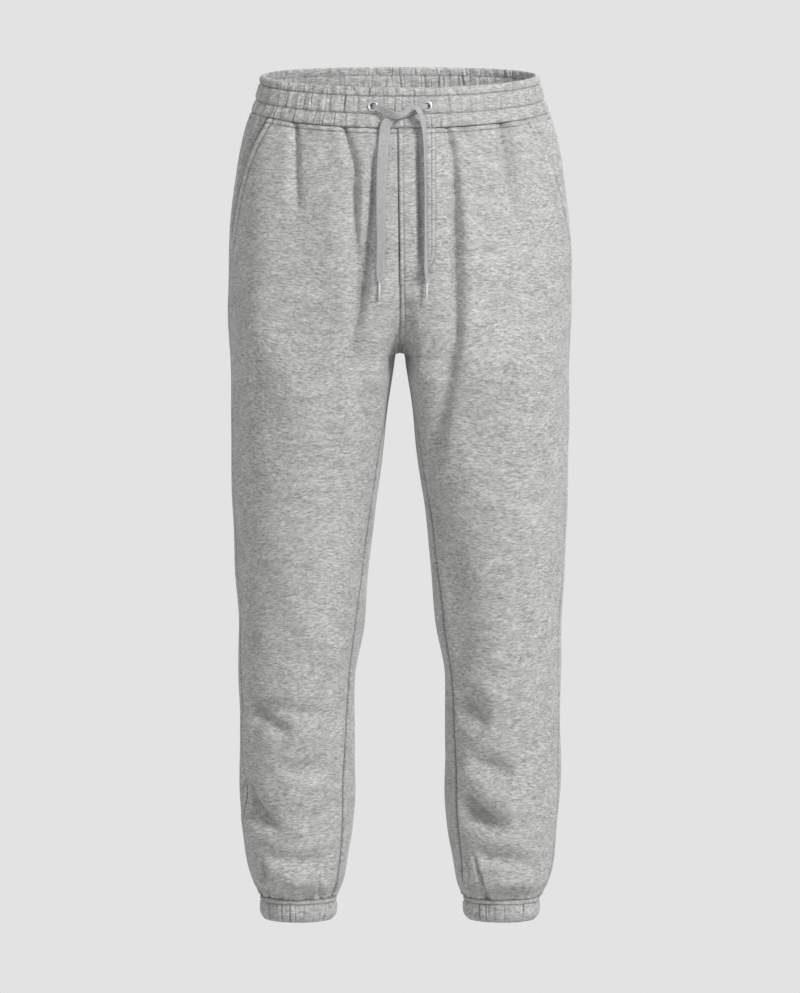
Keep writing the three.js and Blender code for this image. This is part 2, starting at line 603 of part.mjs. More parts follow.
function named(name, geometry, material) {
  const mesh = new THREE.Mesh(geometry, material);
  mesh.name = name;
  return mesh;
}

const trousers = new THREE.Group();
const pocketRows = ROWS.filter((height) => height >= POCKET_CORNER);
const backRise = (height) => 2 * PI - (ringAt(height).inner < 0 ? riseAngle(height) : -riseAngle(height));
for (const [side, wearer] of [
  [1, "left"],
  [-1, "right"],
]) {
  trousers.add(
    named(`front_${wearer}`, panel(side, ROWS, riseAngle, pocketAngle, FRONT_COLUMNS), fleece),
    named(`back_${wearer}`, panel(side, ROWS, sideAngle, backRise, BACK_COLUMNS), fleece),
    named(
      `pocket_facing_${wearer}`,
      panel(side, pocketRows, pocketAngle, sideAngle, FACING_COLUMNS, POCKET_STEP),
      fleece,
    ),
    named(`cuff_${wearer}`, cuff(side), fleece),
    atEyelet(named(`eyelet_${wearer}`, eyelet(), metal), side),
  );
}
trousers.add(
  named("waistband", waistbandWithHoles(), fleece),
  named("fly", fly(), fleece),
  named("drawstring_left", tape(LEFT_EYELET_END), cord),
  named("drawstring_right", tape(RIGHT_EYELET_END), cord),
);
for (const [name, route] of [
  ["aglet_left", LEFT_EYELET_END],
  ["aglet_right", RIGHT_EYELET_END],
]) {
  trousers.add(named(name, aglet(route), metal));
}

export default trousers;
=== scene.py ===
# Jogger sweatpants in heather-grey brushed fleece, filled out as if worn. Sizes are in
# millimetres until a mesh is made. +X is the wearer's left, the front faces -Y, +Z is up.
import math

import bpy
import numpy as np
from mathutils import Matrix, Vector


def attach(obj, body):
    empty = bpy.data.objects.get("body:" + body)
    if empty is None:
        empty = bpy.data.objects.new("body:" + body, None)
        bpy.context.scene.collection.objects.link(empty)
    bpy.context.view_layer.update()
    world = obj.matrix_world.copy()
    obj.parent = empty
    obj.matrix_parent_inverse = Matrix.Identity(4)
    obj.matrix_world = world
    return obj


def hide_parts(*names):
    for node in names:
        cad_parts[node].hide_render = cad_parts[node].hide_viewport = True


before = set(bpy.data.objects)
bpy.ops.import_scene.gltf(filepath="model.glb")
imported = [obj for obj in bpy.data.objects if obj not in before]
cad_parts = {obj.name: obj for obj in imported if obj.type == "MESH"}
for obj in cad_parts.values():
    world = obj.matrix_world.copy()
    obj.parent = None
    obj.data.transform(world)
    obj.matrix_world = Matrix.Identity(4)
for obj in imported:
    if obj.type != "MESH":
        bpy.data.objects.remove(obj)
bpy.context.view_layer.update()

MM = 0.001
PI = math.pi
CLOTH = 2.0  # one layer of fleece
BAND = 3.6  # two layers over elastic
WAIST_SEAM = -18.0  # height of the waistband's seam at the sides
WAIST_TOP = 25.0
CUFF_SEAM = -966.0
HEM = -994.0
CROTCH = -306.5
TILT_ENDS = -230.0  # below this height the rings are level
POCKET_END = -184.0
ANKLE_TOP = -922.0
PUCKERS_START = -938.0  # the fine gathers above the cuffs start here
EYELET_X = 31.5
EYELET_Z = -11.8
CAMERA_DISTANCE = 6000.0
CAMERA_AIM = -479.0
FOCAL_PIXELS = 5016.0
PHOTO_HEIGHT = 993.0
SENSOR = 36.0
SIDES = ((1, "left"), (-1, "right"))


def table(names, *rows):
    """A table with named columns, one array for each."""
    return {name: np.array([row[i] for row in rows], float) for i, name in enumerate(names.split())}


# One ring of cloth for each height: the outer and inner sides of a leg's tube, its middle from
# front to back, how far the cloth stands before and behind it, and the degrees by which the
# inseam and the side seam are turned towards the front.
RINGS = table(
    "z outer inner middle front back inseam side",
    (-18, 177, -177, 0, 99, 104, 0, 11),
    (-34, 183, -183, 0, 104, 109, 0, 11),
    (-58, 189, -189, 0, 107.5, 114, 0, 11),
    (-94, 196, -196, 0, 111, 121, 0, 11),
    (-130, 201, -201, 0, 113.5, 127, 0, 11),
    (-165, 204, -184, 1, 115, 131, 0, 11),
    (-201, 205.5, -159, 2, 116.5, 132, 0, 11),
    (-237, 205, -112, 3, 117, 130, 0, 11),
    (-265, 205, -66, 5, 117.5, 125, 0, 11),
    (-285, 204.5, -33, 7, 117.5, 118, 0, 11),
    (-298, 204.3, -11, 8, 117, 112, 0, 11),
    (-306.5, 204, 0, 8, 116.5, 108.5, 0, 11),
    (-307.3, 204, 4.2, 8, 116.3, 108, 0, 11),
    (-310, 204, 5.4, 8, 116, 107, 0, 11),
    (-325, 203.7, 7.5, 8, 115, 104, 0, 11),
    (-357, 203, 12.3, 7, 110, 99, 6, 12),
    (-411, 202.3, 19, 6, 102.5, 94.5, 16, 13),
    (-484, 201.3, 28.2, 5, 94, 89, 21, 15),
    (-556, 199.1, 36.1, 5, 86.5, 84, 24, 16),
    (-628, 194, 42.8, 7, 80, 79.5, 28, 17),
    (-701, 194.3, 53.6, 11, 75.5, 76, 27, 17),
    (-756, 193.6, 54.5, 14, 73.5, 75.5, 30.5, 17),
    (-829, 193.8, 54.3, 19, 71.5, 75, 35, 17),
    (-884, 190.3, 57.4, 23, 69, 71, 35, 16),
    (-920, 186.8, 62.9, 25, 67, 68, 32, 15),
    (-938, 182.6, 66.5, 26, 64.5, 65, 29, 15),
    (-952, 176.5, 71.3, 27, 56, 57, 23, 15),
    (-960, 171.5, 75.2, 28, 47.5, 48.5, 22, 15),
    (-966, 169.5, 76.9, 28, 43.5, 44.5, 22, 15),
)
# The pocket's mouth, in degrees forwards from the side
POCKET = table("z turn", (-18, 28.5), (-30, 27.2), (-66, 22.6), (-98, 19.4), (-139, 15.4), (POCKET_END, 11))
# The waistband's ring from its top (share 0) to its seam (share 1). puff is how far its three
# stitched channels swell.
BAND_RINGS = table(
    "share half front back puff",
    (0, 164.5, 92.5, 96.5, -1.2),
    (0.03, 164.8, 92.7, 96.7, 0.4),
    (0.1, 165.3, 93, 97, 1.5),
    (0.19, 166, 93.4, 97.4, 0.8),
    (0.22, 166.2, 93.5, 97.5, -0.5),
    (0.25, 166.5, 93.7, 97.7, 0.9),
    (0.34, 167.3, 94.4, 98.4, 2.2),
    (0.56, 169.7, 95.9, 100.2, 2.2),
    (0.63, 170.6, 96.3, 100.8, 1.1),
    (0.66, 171, 96.5, 101, -0.3),
    (0.69, 171.5, 96.7, 101.3, 0.6),
    (0.84, 174, 97.9, 102.6, 1.3),
    (0.96, 176.2, 98.7, 103.7, 0.5),
    (1, 177, 99, 104, -0.9),
)
# The cuff's outer profile, from its seam to its hem
CUFF_ROWS = table(
    "z out",
    (-965.6, -1.2), (-966.6, -0.6), (-968.5, 0.1), (-970.8, -0.3), (-971.8, -1.5), (-972.8, -0.6),
    (-976, 0.2), (-983, 0.2), (-987, -0.6), (-990.5, -2.2), (-993, -4.4), (HEM, -6.4),
)

# Creases and soft folds, each along a bowed line from x0, z0 to x1, z1, with x counted outwards
# from the centre. The columns are x0, z0, x1, z1, bow, wide, start, deep and line. start is the
# share of its width that a fold has at its first end, deep is below zero for a ridge, and line is
# the depth of a narrow crease along the bottom.
RIGHT_FRONT = (
    (126, 8, 121, -152, 0, 6, 0.4, 6, 0.8),
    (126, -10, 123, -62, 0, 2.4, 0.6, 2.4, 0),
    (157, -30, 165, -350, 0, 32, 0.7, -11.5, 0),
    (72, -8, 47, -104, 2, 6, 0.45, 5.5, 1.4),
    (68.5, -18, 62, -62, 0, 2.6, 0.6, 2.4, 0),
    (57, -66, 51, -260, 0, 11, 0.6, 8, 0.4),
    (55, -60, 49, -215, 1, 4.5, 0.6, 3.2, 1),
    (-6, -222, -7, -314, 0, 11, 0.7, 4.5, 0),
    (30, -50, 64, -335, -7, 7.5, 0.6, 11, 2),
    (57, -280, 30, -410, 0, 14, 0.8, 4, 0),
    (128, -595, 66, -700, 0, 17, 1, -5, 0),
    (172, -720, 78, -736, 5, 9, 0.8, 6.5, 0),
    (190, -718, 126, -764, 2, 11, 0.8, 11, 0),
    (152, -799, 86, -796, 4, 10, 1, 6, 0),
    (199, -766, 132, -882, 27, 12, 0.7, 17, 0),
    (176, -690, 174, -790, 0, 8, 1, 3, 0),
    (168, -908, 80, -914, 3, 10, 0.8, 9, 0),
    (176, -945, 74, -945, 0, 8, 1, -3.5, 0),
    (150, -868, 108, -880, 0, 9, 1, -3, 0),
    (169, -906, 156, -980, 1, 3.2, 0.7, 5.6, 1.2),
    (100, -936, 92, -980, 1, 2.6, 0.7, 3.4, 0),
)
LEFT_FRONT = (
    (45, -4, 66, -122, 5, 5.4, 0.5, 6, 1.2),
    (64, -70, 66, -312, 2, 7.2, 0.5, 11, 2),
    (67, -246, 31, -470, 0, 12, 0.7, 10, 0),
    (22, -24, 26, -214, 0, 5, 0.8, 6.5, 2),
    (6, -222, 7, -314, 0, 11, 0.7, 4.5, 0),
    (62, -520, 70, -700, 0, 24, 0.8, 6, 0),
    (114, 8, 138, -160, 2, 9, 0.35, 9, 1.2),
    (76, 6, 79, -70, 0, 7, 0.5, 2.6, 0),
    (150, -60, 170, -200, 0, 14, 0.8, 2.4, 0),
    (120, -300, 96, -520, 8, 22, 0.8, 3.6, 0),
    (44, -706, 108, -751, 2, 14, 0.8, 13, 0),
    (76, -790, 140, -812, 3, 11, 0.9, 8.5, 0),
    (92, -700, 130, -716, 0, 10, 1, -2.6, 0),
    (44, -784, 134, -880, -18, 13, 0.7, 17, 0),
    (86, -857, 132, -871, 0, 11, 1, 4.5, 0),
    (84, -907, 164, -919, 2, 10, 0.8, 10, 0),
    (80, -945, 176, -945, 0, 8, 1, -3.5, 0),
    (84, -900, 106, -982, 2, 2.2, 0.7, 4.6, 1.4),
    (76, -922, 87, -982, 1, 2.2, 0.7, 3.6, 1),
    (92, -926, 112, -980, 1, 2.6, 0.7, 3.4, 0),
)
RIGHT_BACK = (
    (112, 10, 106, -140, 0, 9, 0.4, 7, 0.8),
    (52, 10, 64, -175, 4, 9, 0.4, 7, 0.8),
    (18, -278, 165, -356, -12, 16, 0.7, 10, 0.8),
    (40, -372, 168, -410, -8, 15, 0.8, 4.5, 0),
    (66, -676, 180, -718, -6, 13, 0.8, 8.5, 0),
    (72, -752, 172, -738, -6, 12, 0.9, 7, 0),
    (80, -800, 178, -846, 4, 13, 0.8, 8.5, 0),
    (84, -888, 170, -912, 5, 9, 0.9, 5.5, 0),
    (76, -938, 172, -938, 0, 9, 1, -4, 0),
    (150, -922, 138, -974, 1, 3, 0.7, 4, 0.8),
)
LEFT_BACK = (
    (105, 10, 117, -150, 0, 9, 0.4, 7, 0.8),
    (60, 10, 54, -160, -3, 9, 0.4, 6, 0.6),
    (22, -286, 172, -348, -14, 15, 0.7, 10, 0.8),
    (48, -384, 160, -436, -6, 15, 0.8, 4.5, 0),
    (62, -690, 176, -704, -9, 13, 0.8, 8.5, 0),
    (80, -728, 180, -762, 3, 11, 0.9, 5.5, 0),
    (70, -806, 170, -828, -8, 13, 0.8, 8.5, 0),
    (88, -878, 172, -918, 4, 11, 0.9, 5.5, 0),
    (76, -938, 172, -938, 0, 9, 1, -4, 0),
    (104, -920, 116, -974, 1, 3, 0.7, 4, 0.8),
)
FOLDS = {-1: (RIGHT_FRONT, RIGHT_BACK), 1: (LEFT_FRONT, LEFT_BACK)}

# Each end of the drawstring from its eyelet to its tip: places on the front, how far the middle
# of the tape stands off the cloth, its width, and the direction across it.
LEFT_EYELET_END = table(
    "x z off width right out up",
    (31.5, -11.8, -1.6, 5, 0.1, 0, 1),
    (31.4, -11.8, 0.9, 5.2, 0, 0, 1),
    (28.9, -12.1, 2.8, 6, -0.1, 0, 1),
    (23.6, -13.6, 3.1, 8, -0.2, 0, 1),
    (16.4, -16.2, 3.2, 9, -0.3, 0, 0.95),
    (7, -19.6, 3.3, 9.4, -0.34, 0, 0.94),
    (-2.3, -23, 3.4, 9.6, -0.4, 0, 0.9),
    (-10.6, -26.5, 3.2, 11.4, -0.7, 0, 0.7),
    (-16.4, -34, 3, 12.4, -0.94, 0, 0.34),
    (-18.2, -44, 2.6, 12.8, -1, 0, 0.12),
    (-20.4, -74, 2.2, 12.8, -1, 0, 0.05),
    (-22.2, -121, 2.3, 11.6, -1, -0.1, 0.05),
    (-22.5, -168, 2.2, 10, -1, -0.2, 0),
    (-23.4, -203, 2.3, 9.6, -1, -0.2, 0),
    (-24, -214, 2.3, 7, -1, -0.1, 0),
    (-24.2, -218, 2.4, 3.2, -1, 0, 0),
)
RIGHT_EYELET_END = table(
    "x z off width right out up",
    (-31.5, -11.8, -1.6, 5, 0.2, 0, 1),
    (-31.4, -11.8, 0.9, 5.2, 0.2, 0, 1),
    (-28.7, -12.4, 3, 6.5, 0.3, 0, 1),
    (-23.4, -14.8, 4.4, 9, 0.35, 0.25, 0.94),
    (-16.4, -18.3, 6.6, 10, 0.35, 0.45, 0.9),
    (-8.2, -21.8, 8.6, 10, 0.3, 0.5, 0.85),
    (0, -22.6, 10, 7.5, 0.1, 0.1, 0.95),
    (5, -20, 10, 7, 0, -0.3, 0.95),
    (9.5, -16.4, 9.6, 7.5, -0.1, -0.1, 1),
    (14, -13.4, 9.8, 7.5, 0.3, -0.4, 0.85),
    (18.6, -14, 10.2, 7, 0.75, -0.6, 0.45),
    (22.4, -19.5, 10.2, 7, 0.85, -0.5, 0.2),
    (25.6, -28, 9.6, 8, 0.8, -0.6, 0),
    (27.6, -40, 8.4, 9, 0.6, -0.8, 0),
    (28.6, -62.5, 7.4, 10, 0.3, -0.95, 0),
    (29.3, -110, 7, 10, 0.22, -0.97, 0),
    (29.9, -163, 6.8, 10, 0.3, -0.95, 0),
    (30.5, -202, 6.6, 9.6, 0.42, -0.9, 0),
    (31.2, -214, 6.2, 7, 0.4, -0.9, 0),
    (31.4, -218, 5.6, 3.2, 0.4, -0.9, 0),
)


def reader(columns, key):
    """Smooth curves through a table's columns that never overshoot its rows."""
    at = columns[key]
    order = np.argsort(at)
    at = at[order]
    step = np.diff(at)
    values = {name: column[order] for name, column in columns.items() if name != key}
    tangents = {}
    for name, value in values.items():
        slope = np.diff(value) / step
        before = np.r_[slope[0], slope]
        after = np.r_[slope, slope[-1]]
        total = before + after
        total[total == 0] = 1
        tangents[name] = np.where(before * after > 0, 2 * before * after / total, 0)

    def read(place):
        place = np.asarray(place, float)
        i = np.clip(np.searchsorted(at, place, side="right") - 1, 0, len(at) - 2)
        t = np.clip((place - at[i]) / step[i], 0, 1)
        out = {}
        for name, value in values.items():
            slope = tangents[name]
            out[name] = (
                (1 + 2 * t) * (1 - t) ** 2 * value[i]
                + t * (1 - t) ** 2 * step[i] * slope[i]
                + t * t * (3 - 2 * t) * value[i + 1]
                + t * t * (t - 1) * step[i] * slope[i + 1]
            )
        return out

    return read


read_ring = reader(RINGS, "z")
read_pocket = reader(POCKET, "z")
read_band = reader(BAND_RINGS, "share")
read_cuff = reader(CUFF_ROWS, "z")


def smooth(x, low, high):
    t = np.clip((np.asarray(x, float) - low) / (high - low), 0, 1)
    return t * t * (3 - 2 * t)


def bell(x, wide):
    return np.exp(-((x / wide) ** 2))


def joined(x, y, z):
    """Points from their three coordinates."""
    return np.stack(np.broadcast_arrays(x, y, z), -1)


def ring_at(height):
    ring = read_ring(height)
    ring["centre"] = (ring["outer"] + ring["inner"]) / 2
    ring["half"] = (ring["outer"] - ring["inner"]) / 2
    return ring


def band_at(share):
    ring = read_band(share)
    ring["centre"] = 0.0
    ring["middle"] = 0.0
    return ring


def depth_of(ring, angle):
    return np.where(np.sin(angle) > 0, ring["front"], ring["back"])


def normal_of(ring, angle):
    x = -np.cos(angle) / ring["half"]
    y = -np.sin(angle) / depth_of(ring, angle)
    length = np.hypot(x, y)
    return x / length, y / length


def on_ring(ring, angle):
    x = ring["centre"] - ring["half"] * np.cos(angle)
    y = ring["middle"] - depth_of(ring, angle) * np.sin(angle)
    return x, y


def speed_of(ring, angle):
    return np.hypot(ring["half"] * np.sin(angle), depth_of(ring, angle) * np.cos(angle))


def arc_of(ring, fine):
    """The length round a ring from the first of some close angles to each of them."""
    return np.r_[0, np.cumsum(speed_of(ring, (fine[1:] + fine[:-1]) / 2) * np.diff(fine))]


SEAM_TILT, SEAM_BOW = 13.75, 5.75  # the waistband's seam rises behind and falls in front
TOP_TILT, TOP_BOW = 12.5, 2.5


def seam_height(tip):
    return WAIST_SEAM + SEAM_TILT * tip - SEAM_BOW * tip * tip


def top_height(tip):
    return WAIST_TOP + TOP_TILT * tip - TOP_BOW * tip * tip


def angle_at(ring, x):
    """The angle on the front half of a ring at x."""
    return np.arccos(np.clip((ring["centre"] - x) / ring["half"], -1, 1))


LIP = 0.18  # height of the rounded lip beside a trough, as a share of its depth
LIP_PLACE, LIP_WIDE, LINE_WIDE = 2.1, 1.5, 0.26  # as shares of a trough's width


def fold_depth(side, tip, x, z, hold):
    """The depth of all the folds at x and z, times hold. A trough's lip is on its outer side."""
    total = np.zeros(np.broadcast(x, z, tip).shape)
    for folds, facing in zip(FOLDS[side], (-tip, tip)):
        for x0, z0, x1, z1, bow, widest, start, deep, line in folds:
            run_x, run_z = x1 - x0, z1 - z0
            length = math.hypot(run_x, run_z)
            t = np.clip(((x - x0) * run_x + (z - z0) * run_z) / length**2, 0, 1)
            across = ((z - z0) * run_x - (x - x0) * run_z) / length - bow * 4 * t * (1 - t)
            ends = (1 - (2 * t - 1) ** 4) ** 2
            wide = widest * (start + (1 - start) * smooth(t, 0, 0.55))
            shape = bell(across, wide) - LIP * bell(across - LIP_PLACE * wide, LIP_WIDE * wide)
            push = deep * shape + line * bell(across, LINE_WIDE * wide)
            total += push * ends * smooth(facing, -0.05, 0.35)
    return total * hold


def ripple(side, angle, z):
    """The low uneven swell that any filled cloth has."""
    return (
        0.7 * np.sin(z / 31 + 2.1 * np.sin(angle * 2 + side) + side)
        + 0.5 * np.sin(z / 17 + 3 * np.cos(angle * 3 - side))
        + 0.35 * np.sin(angle * 9 + z / 23 + 2 * side)
    )


def ankle_gather(side, angle, height):
    """Uneven gathers where a leg is sewn into its cuff, deepest at the seam."""
    wave = np.cos(8 * angle + side) * 1.6
    fine = np.cos(21 * angle + 2.2 * np.sin(3 * angle + side))
    fine = fine + 0.8 * np.cos(37 * angle + 2 * np.cos(5 * angle - side))
    return wave * smooth(-height, -ANKLE_TOP, -CUFF_SEAM) + fine * smooth(-height, -PUCKERS_START, -CUFF_SEAM - 2)


def waist_gather(side, angle, height):
    """Small puckers just below the waistband's seam."""
    fine = np.cos(44 * angle + 2.4 * np.sin(5 * angle + side)) + 0.6 * np.cos(71 * angle - side)
    return 0.45 * fine * smooth(height, WAIST_SEAM - 30, WAIST_SEAM - 2)


LAGS = (8, 18, 28, 38, 48)
SQUARE = 26  # how far the inner edge of a leg's front comes forward below the crotch


def flat_to_crotch(x, y, angle, height):
    """Front and back stay flat near the crotch: they follow the rings that lie a little higher up.

    The front of each leg then stays full up to its inner edge for a hand's width."""
    weight = bell(height - CROTCH + 14, 60) * smooth(x, 4, 24) * (1 - smooth(x, 110, 160))
    front = np.where(np.sin(angle) > 0, 1, -1)
    higher = 0
    for lag in LAGS:
        ring = ring_at(height + lag)
        across = np.clip((ring["centre"] - x) / ring["half"], -1, 1)
        higher = higher + ring["middle"] - front * depth_of(ring, angle) * np.sqrt(1 - across**2)
    ring = ring_at(height)
    inwards = x - ring["centre"] + ring["half"]
    below = smooth(CROTCH - height, 0, 34) * (1 - smooth(CROTCH - height, 70, 200))
    full = SQUARE * below * smooth(inwards, 0, 3) * (1 - smooth(inwards, 0, 75))
    return y + weight * (higher / len(LAGS) - y) - np.maximum(front, 0) * full


def folds_at(side, angle, height):
    """How far the folds push the cloth in at an angle. A leg's folds ease off towards its seams."""
    ring = ring_at(height)
    tip = -np.sin(angle)
    x, _ = on_ring(ring, angle)
    z = tilted(height, tip)
    leg = 1 - smooth(height, -420, -340)
    half_turn = (angle - np.radians(ring["inseam"])) / 2
    from_inseam = 2 * np.abs(np.sin(half_turn))
    in_front = np.cos(half_turn) > 0
    inseam = np.where(in_front, smooth(from_inseam, 0.02, 0.3), smooth(from_inseam, 0.04, 0.5))
    outseam = 0.4 + 0.6 * smooth(np.abs(angle - PI + np.radians(ring["side"])), 0, 0.2)
    return fold_depth(side, tip, x, z, 1 - leg * (1 - inseam * outseam))


def tilted(height, tip):
    """The height of a place on a ring, which tilts up behind and down in front at the waist."""
    return height + (seam_height(tip) - WAIST_SEAM) * smooth(height, TILT_ENDS, WAIST_SEAM)


def body_point(side, angle, height, out=0.0, calm=False):
    """Points on the trousers below the waistband, out from the cloth's outer face."""
    ring = ring_at(height)
    x, y = on_ring(ring, angle)
    y = flat_to_crotch(x, y, angle, height)
    z = tilted(height, -np.sin(angle))
    push = out + ankle_gather(side, angle, height) - folds_at(side, angle, height)
    if not calm:
        push = push + (ripple(side, angle, z) * 0.8 + waist_gather(side, angle, height)) * smooth(x, 0, 22)
    nx, ny = normal_of(ring, angle)
    # the two sides meet on the centre plane, so cloth there only moves forwards or back
    x = np.maximum(x + nx * push * smooth(x, 0, 6), 0.05)
    return joined(x * side, y + ny * push, z)


def rise_angle(height):
    ring = ring_at(height)
    return np.where(ring["inner"] < 0, angle_at(ring, 0), np.radians(ring["inseam"]))


def back_rise_angle(height):
    ring = ring_at(height)
    return 2 * PI + np.where(ring["inner"] < 0, -angle_at(ring, 0), np.radians(ring["inseam"]))


def side_angle(height):
    return PI - np.radians(ring_at(height)["side"])


def pocket_angle(height):
    return np.where(height > POCKET_END, PI - np.radians(read_pocket(height)["turn"]), side_angle(height))


def placed(name, data):
    obj = bpy.data.objects.new(name, data)
    bpy.context.collection.objects.link(obj)
    return obj


def mesh_object(name, points, faces, material):
    """A smooth mesh from places in millimetres."""
    mesh = bpy.data.meshes.new(name)
    mesh.from_pydata((np.asarray(points) * MM).tolist(), [], faces)
    mesh.update()
    mesh.shade_smooth()
    mesh.materials.append(material)
    return placed(name, mesh)


def new_object(name, points, faces, material, groove=None):
    """A piece of the part. groove at each point is painted shade that darkens its colour, up to 1,
    or painted light below 0 that makes it paler."""
    obj = mesh_object(name, points, faces, material)
    if groove is not None:
        values = np.zeros(len(obj.data.vertices))
        values[: groove.size] = np.clip(groove, -1, 1).ravel()
        obj.data.attributes.new("groove", "FLOAT", "POINT").data.foreach_set("value", values)
    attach(obj, "root")
    return obj


def outward(points, faces):
    """The faces turned so that a closed mesh's volume is above zero."""
    p = np.asarray(points)
    tris = np.array([(f[0], f[k], f[k + 1]) for f in faces for k in range(1, len(f) - 1)])
    a, b, c = (p[tris[:, k]] for k in range(3))
    if np.einsum("ij,ij->", a, np.cross(b, c)) < 0:
        return [tuple(reversed(f)) for f in faces]
    return faces


def tube_faces(rings, sides, capped=True):
    """Faces between closed rings of points, with the first and last filled in if capped."""
    faces = []
    for i, j in np.ndindex(rings - 1, sides):
        a, b = i * sides + j, i * sides + (j + 1) % sides
        faces.append((a, b, b + sides, a + sides))
    if capped:
        last = (rings - 1) * sides
        faces += [tuple(range(sides))[::-1], tuple(range(last, last + sides))]
    return faces


def shell(outer, inner, wrap=False):
    """A closed wall between an outer grid and an inner one, which has as many spans or half as many
    each way."""
    rows, cols = outer.shape[:2]
    inner_rows, inner_cols = inner.shape[:2]
    first = rows * cols
    faces = []

    def out(i, j):
        return i * cols + (j % cols if wrap else j)

    def inn(i, j):
        return first + i * inner_cols + (j % inner_cols if wrap else j)

    spans = cols if wrap else cols - 1
    inner_spans = inner_cols if wrap else inner_cols - 1
    for i, j in np.ndindex(rows - 1, spans):
        faces.append((out(i, j), out(i + 1, j), out(i + 1, j + 1), out(i, j + 1)))
    for i, j in np.ndindex(inner_rows - 1, inner_spans):
        faces.append((inn(i, j), inn(i, j + 1), inn(i + 1, j + 1), inn(i + 1, j)))

    def rim(fine, coarse, flip):
        made = []
        for k in range(len(coarse) - 1):
            if len(fine) == len(coarse):
                made.append((fine[k], fine[k + 1], coarse[k + 1], coarse[k]))
                continue
            a, b, c = fine[2 * k : 2 * k + 3]
            made += [(a, b, coarse[k]), (b, coarse[k + 1], coarse[k]), (b, c, coarse[k + 1])]
        faces.extend(face[::-1] if flip else face for face in made)

    for i, k, flip in ((0, 0, False), (rows - 1, inner_rows - 1, True)):
        fine = [out(i, j) for j in range(spans + 1)]
        rim(fine, [inn(k, j) for j in range(inner_spans + 1)], flip)
    if not wrap:
        for j, k, flip in ((0, 0, True), (cols - 1, inner_cols - 1, False)):
            fine = [out(i, j) for i in range(rows)]
            rim(fine, [inn(i, k) for i in range(inner_rows)], flip)
    points = np.concatenate([outer.reshape(-1, 3), inner.reshape(-1, 3)])
    return points, outward(points, faces)


NEAR_EDGE = np.array([0, 0.5, 1, 1.5, 2.1, 2.8, 3.6, 4.6, 5.4, 6, 6.5, 7, 7.6, 8.6, 10, 12])


def graded(total, count):
    """Places from 0 to total, close together near both ends, count of them in all."""
    ends = len(NEAR_EDGE)
    middle = np.linspace(NEAR_EDGE[-1], total - NEAR_EDGE[-1], count - 2 * ends + 2)[1:-1]
    return np.concatenate([NEAR_EDGE, middle, total - NEAR_EDGE[::-1]])


SEAM_DEEP, SEAM_WIDE = 1.9, 1.25


def seam_dip(distance, row=None, wide=SEAM_WIDE):
    """Cloth rolls under at a seam, and dips where a row of stitches holds it."""
    dip = SEAM_DEEP * bell(distance, wide)
    if row is not None:
        dip = dip + row_dip(distance, row)
    return dip


MOUTH_SHADOW = {-1: 1.0, 1: 0.3}  # painted shadow along the pocket's mouth, weaker on the side turned to the light
VALLEY_SHADE = 0.5  # how dark the painted shade in the bottoms of the deepest folds is


# painted shade in the troughs of the folds, darker where they are deeper
def valley_shade(side, angle, height):
    return VALLEY_SHADE * smooth(folds_at(side, angle, height), 3, 15)


def row_dip(distance, row):
    """A row of stitches pulls a groove, and the cloth between it and the edge stands up."""
    return 1.05 * bell(distance - row, 0.85) - 0.45 * bell(distance - row / 2, row / 3)


def mouth_dip(distance, row):
    """The folded edge of a pocket's mouth stands a little proud of the piece behind it."""
    edge = 1.1 * bell(distance, 1.1) - 0.9 * (1 - smooth(distance, row, row + 18))
    return edge + 1.3 * bell(distance - row, 1.7) - 0.5 * bell(distance - row / 2, row / 3)


TOP_ROW = 6.2  # rows of stitches this far from an edge
CENTRE_ROW = 5.2
ARC_STEPS, RING_STEPS = 160, 3601  # steps in which a length round a ring is measured


def pocket_row(height):
    """How far the row of stitches lies in from a pocket's mouth."""
    return 13 - 4 * smooth(height, POCKET_END, WAIST_SEAM)


